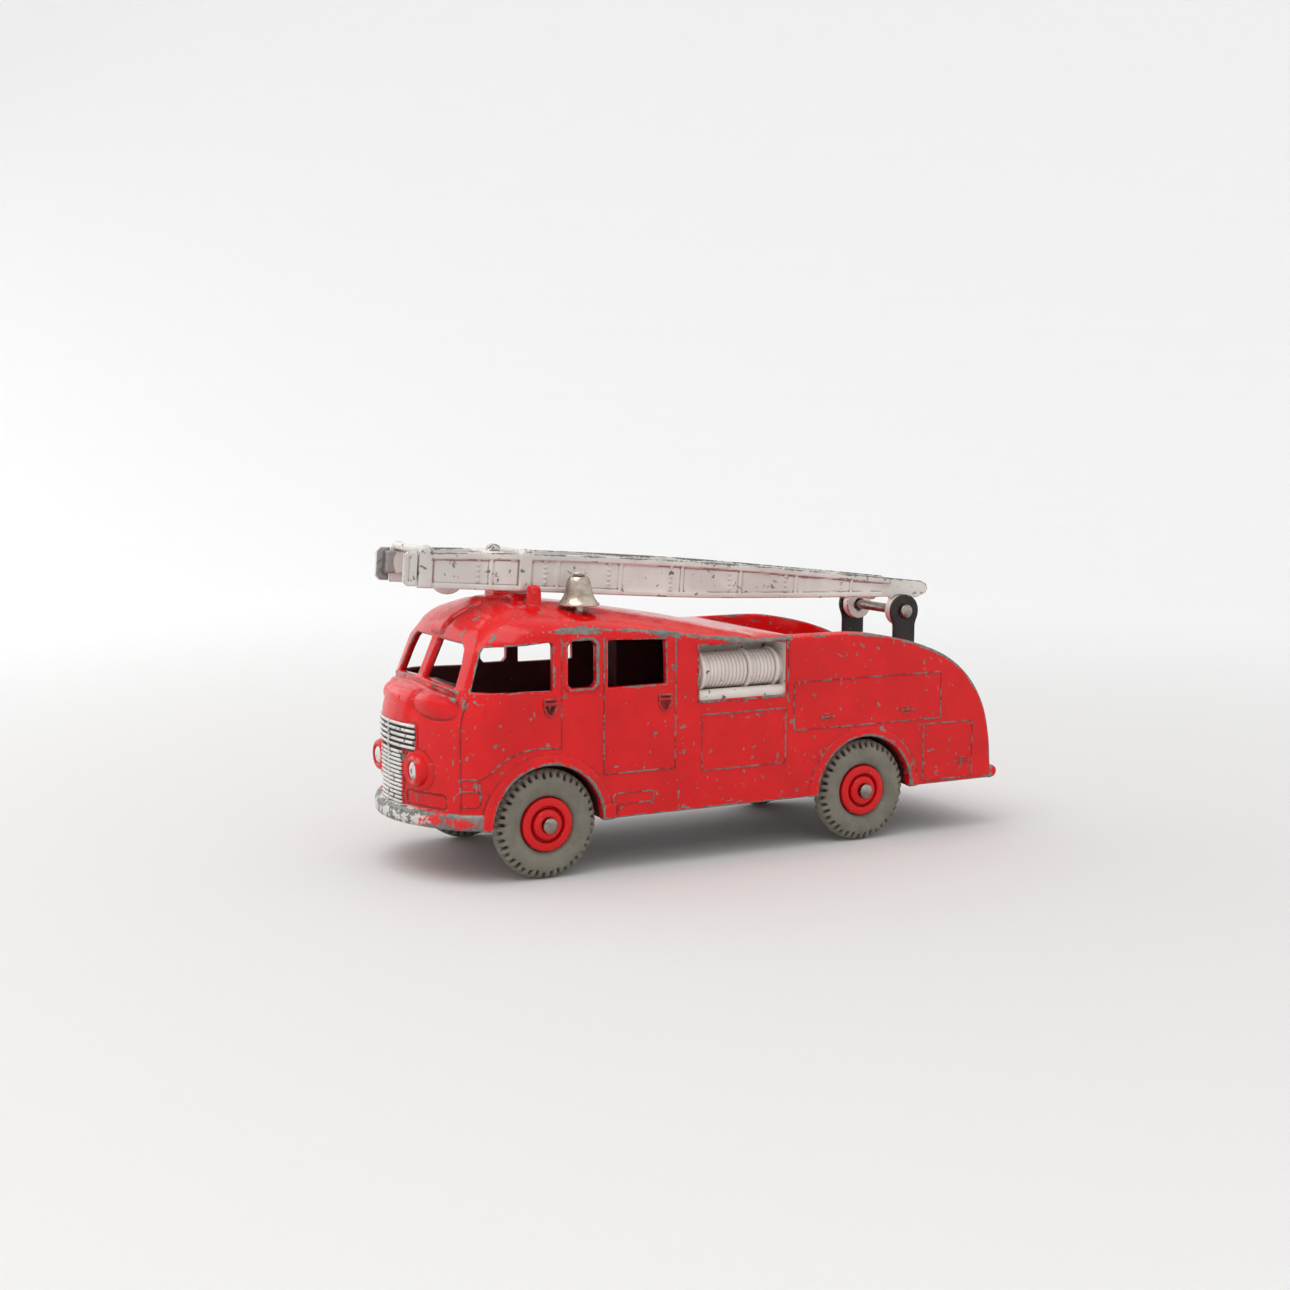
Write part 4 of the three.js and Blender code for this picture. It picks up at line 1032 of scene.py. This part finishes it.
def main_ladder_field(u, y, v):
    shape = outline(u, v, [*LADDER_TOP, (-7.1, 6.3), (-7.7, 5.2), (-7.1, 4.1), *LADDER_BOTTOM])
    plate = common(shape, slab(y, PLATE_IN, PLATE_OUT), 0.2)
    under_top = height_on(LADDER_TOP, u) - v
    over_bottom = v - height_on(LADDER_BOTTOM, u)
    flange = common(common(shape, under_top - 1.35), slab(y, PLATE_IN, 8.55), 0.25)
    plate = join(plate, common(flange, 3 - u), 0.12)
    lower = common(common(shape, over_bottom - 1.1), slab(y, PLATE_IN, 8.4), 0.25)
    plate = join(plate, common(lower, 5 - u), 0.12)
    for rib in RIBS:
        upright = common(common(slab(u, rib - 2.1, rib - 1.6), slab(y, 7.6, 8.38)), shape + 0.4, 0.1)
        plate = join(plate, upright, 0.25)
        level = v - np.round((v - 0.5) / 1.05) * 1.05 - 0.5
        studs = norm(u - rib - 0.9, level, y - 8.05) - 0.38
        plate = join(plate, common(studs, shape + 1.5), 0.3)
    neck = block(u, y, v, (-2.6, PLATE_IN, 0), (2.6, PLATE_OUT, 4), 0.3)
    ear = common(disc(u, v, 0, 0, 3.4), slab(y, PLATE_IN, 9.35), 0.3)
    plate = cut(join(plate, join(neck, ear, 0.4), 0.4), disc(u, v, 0, 0, PIN_HOLE) + 0 * y)
    for start, end, top in COLLARS:
        cheek = block(u, y, v, (start, PLATE_IN, 1.7), (end, 8.7, top - 0.6), 0.5)
        bridge = block(u, y, v, (start + 0.3, -9, 8.4), (end - 0.3, 8.7, top), 0.5)
        knob = norm((u - (start + end) / 2) / 1.5, y - 7.7, v - top + 0.45) - 0.85
        plate = join(plate, join(join(cheek, bridge, 0.3), knob, 0.3), 0.2)
    strap = block(u, y, v, (95.6, -9, 8.4), (99.2, 8.2, 9.2), 0.3)
    pulley = common(disc(u, v, 97.4, 9.3, 1.4), slab(y, -0.9, 0.9), 0.3)
    pulley = cut(pulley, np.hypot(np.hypot(u - 97.4, v - 9.3) - 1.4, y) - 0.35)
    plate = join(plate, join(strap, pulley, 0.3), 0.2)
    place = np.clip(np.round((u - 7) / RUNG_STEP), 0, 13) * RUNG_STEP + 7
    rung = common(np.hypot(u - place, v - 2.75) - 0.55, y - 7.9)
    return join(plate, rung, 0.35)


def extension_field(u, y, v):
    rail = block(u, y, v, (28, 6.2, 3.5), (118, 7.0, 8.0), 0.25)
    rail = cut(rail, block(u, y, v, (30, 6.75, 4.4), (115, 9, 7.1), 0.2), 0.1)
    face = outline(u, v, [(116.95, 2.0), (118.9, 2.0), (119.7, 2.8), (119.7, 7.9), (118.9, 8.7),
                          (116.95, 8.7)])
    head = common(face, slab(y, PLATE_IN, PLATE_OUT), 0.4)
    web = block(u, y, v, (116.95, 6.2, 3.5), (118.05, 8.2, 8.0), 0.3)
    rim = common(common(face, -face - 0.7, 0.1), slab(y, 7.6, 8.35), 0.2)
    ladder = join(join(rail, head, 0.2), join(web, rim, 0.2), 0.3)
    tab = common(join(disc(u, v, 107.2, 3.9, 3.95), slab(v, 3.6, 4.4)), slab(u, 103.2, 111.2))
    tab = common(common(tab, v - 4.5), slab(y, -0.6, 0.6), 0.3)
    place = np.clip(np.round((u - 31.4) / RUNG_STEP), 0, 11) * RUNG_STEP + 31.4
    rung = common(np.hypot(u - place, v - 4.3) - 0.55, y - 6.8)
    return join(join(ladder, rung, 0.3), tab, 0.3)


def ladder_wear(x, y, z):
    """The upper edges are rubbed most."""
    top = height_on(LADDER_TOP, x)
    return 0.20 * near(z - top, 0.8) * (0.7 + 0.3 * np.sin(x * 0.3)) * (np.abs(y) > 7)


def make_ladders():
    step = 0.17
    main = sculpt("main_ladder_look", (-8.4, 0, -4.2), (117.4, 9.9, 11.4), step, main_ladder_field,
                  adaptivity=0.03, reach=0.4, wear=ladder_wear)
    dress(on_ladder(main), SILVER, "ladder", "silver_paint", "main_ladder")
    inner = sculpt("extension_look", (27.4, 0, -0.8), (120.3, 9.2, 9.4), step, extension_field,
                   adaptivity=0.03, reach=0.4)
    dress(inner, SILVER, "extension", "silver_paint", "extension_ladder")
    inner.data.materials.append(HEAD_INSIDE_SHADE)
    # Faces inside the head of the extension take the darker silver: painted shade.
    for face in inner.data.polygons:
        if face.center.x > 116.0 * MM and abs(face.center.y) < 7.5 * MM:
            face.material_index = 1
    on_ladder(inner)


# ---- stage ----

def make_camera():
    camera = bpy.data.objects.new("camera", bpy.data.cameras.new("camera"))
    camera.location = Vector(CAMERA_PLACE) * MM
    aim = Vector(CAMERA_AIM) * MM - camera.location
    roll = Matrix.Rotation(math.radians(CAMERA_ROLL), 3, "Z").to_quaternion()
    camera.rotation_euler = (aim.to_track_quat("-Z", "Y") @ roll).to_euler()
    camera.data.lens = 50.95
    camera.data.sensor_width = 36
    camera.data.clip_start = 0.01
    bpy.context.scene.collection.objects.link(camera)
    bpy.context.scene.camera = camera


def soft_light(name, place, size, power):
    """A white rectangle turned towards the toy."""
    light = bpy.data.lights.new(name, "AREA")
    light.shape = "RECTANGLE"
    light.size, light.size_y = size
    light.energy = power
    item = bpy.data.objects.new(name, light)
    item.location = place
    aim = Vector((0, 0, 0.03)) - Vector(place)
    item.rotation_euler = aim.to_track_quat("-Z", "Y").to_euler()
    bpy.context.scene.collection.objects.link(item)


def make_stage():
    """A pale bowl: a flat floor that turns up into a wall all round."""
    flat, curve, top = 600.0, 500.0, 700.0
    arc = [(flat + curve * math.sin(t), curve * (1 - math.cos(t)))
           for t in np.linspace(0, math.pi / 2, 24)]
    profile = [(0, 0), (flat * 0.5, 0), *arc, (flat + curve, top)]
    floor = turned("floor", profile, (0, 0, 0), (0, 0, 1), 96, 0.01)
    material, tree, shader, place = start_material("floor_paper", 0.9)
    away = add(tree, "VectorMath", {0: place}, operation="LENGTH").outputs["Value"]
    speckle = noise(tree, place, 900, 3.0)
    # The floor is painted darker round the toy and lighter out on the wall: painted shade and painted
    # light.
    near_floor_shade = mixed(tree, speckle, (0.640, 0.632, 0.626, 1), (0.660, 0.652, 0.646, 1))
    tone = mixed(tree, ramp(tree, away, 0.08, 0.60), near_floor_shade, (0.845, 0.845, 0.845, 1))
    wire(shader, {"Base Color": tone})
    floor.data.materials.append(material)
    world = bpy.data.worlds.new("studio")
    world.use_nodes = True
    wire(world.node_tree.nodes["Background"], {"Color": (1, 1, 1, 1), "Strength": 0.95})
    bpy.context.scene.world = world
    bpy.context.scene.view_settings.view_transform = "Standard"
    soft_light("key", (0.30, 0.10, 0.80), (0.6, 0.6), 2.7)
    soft_light("back", (0.45, -0.70, 0.45), (0.8, 0.5), 1.3)


make_camera()
make_stage()
make_body()
make_bumper()
make_side_lines()
make_handles()
make_grille()
make_lamps()
make_reels()
make_wheels()
make_bell()
make_bracket()
make_rivets()
make_base()
make_ladders()
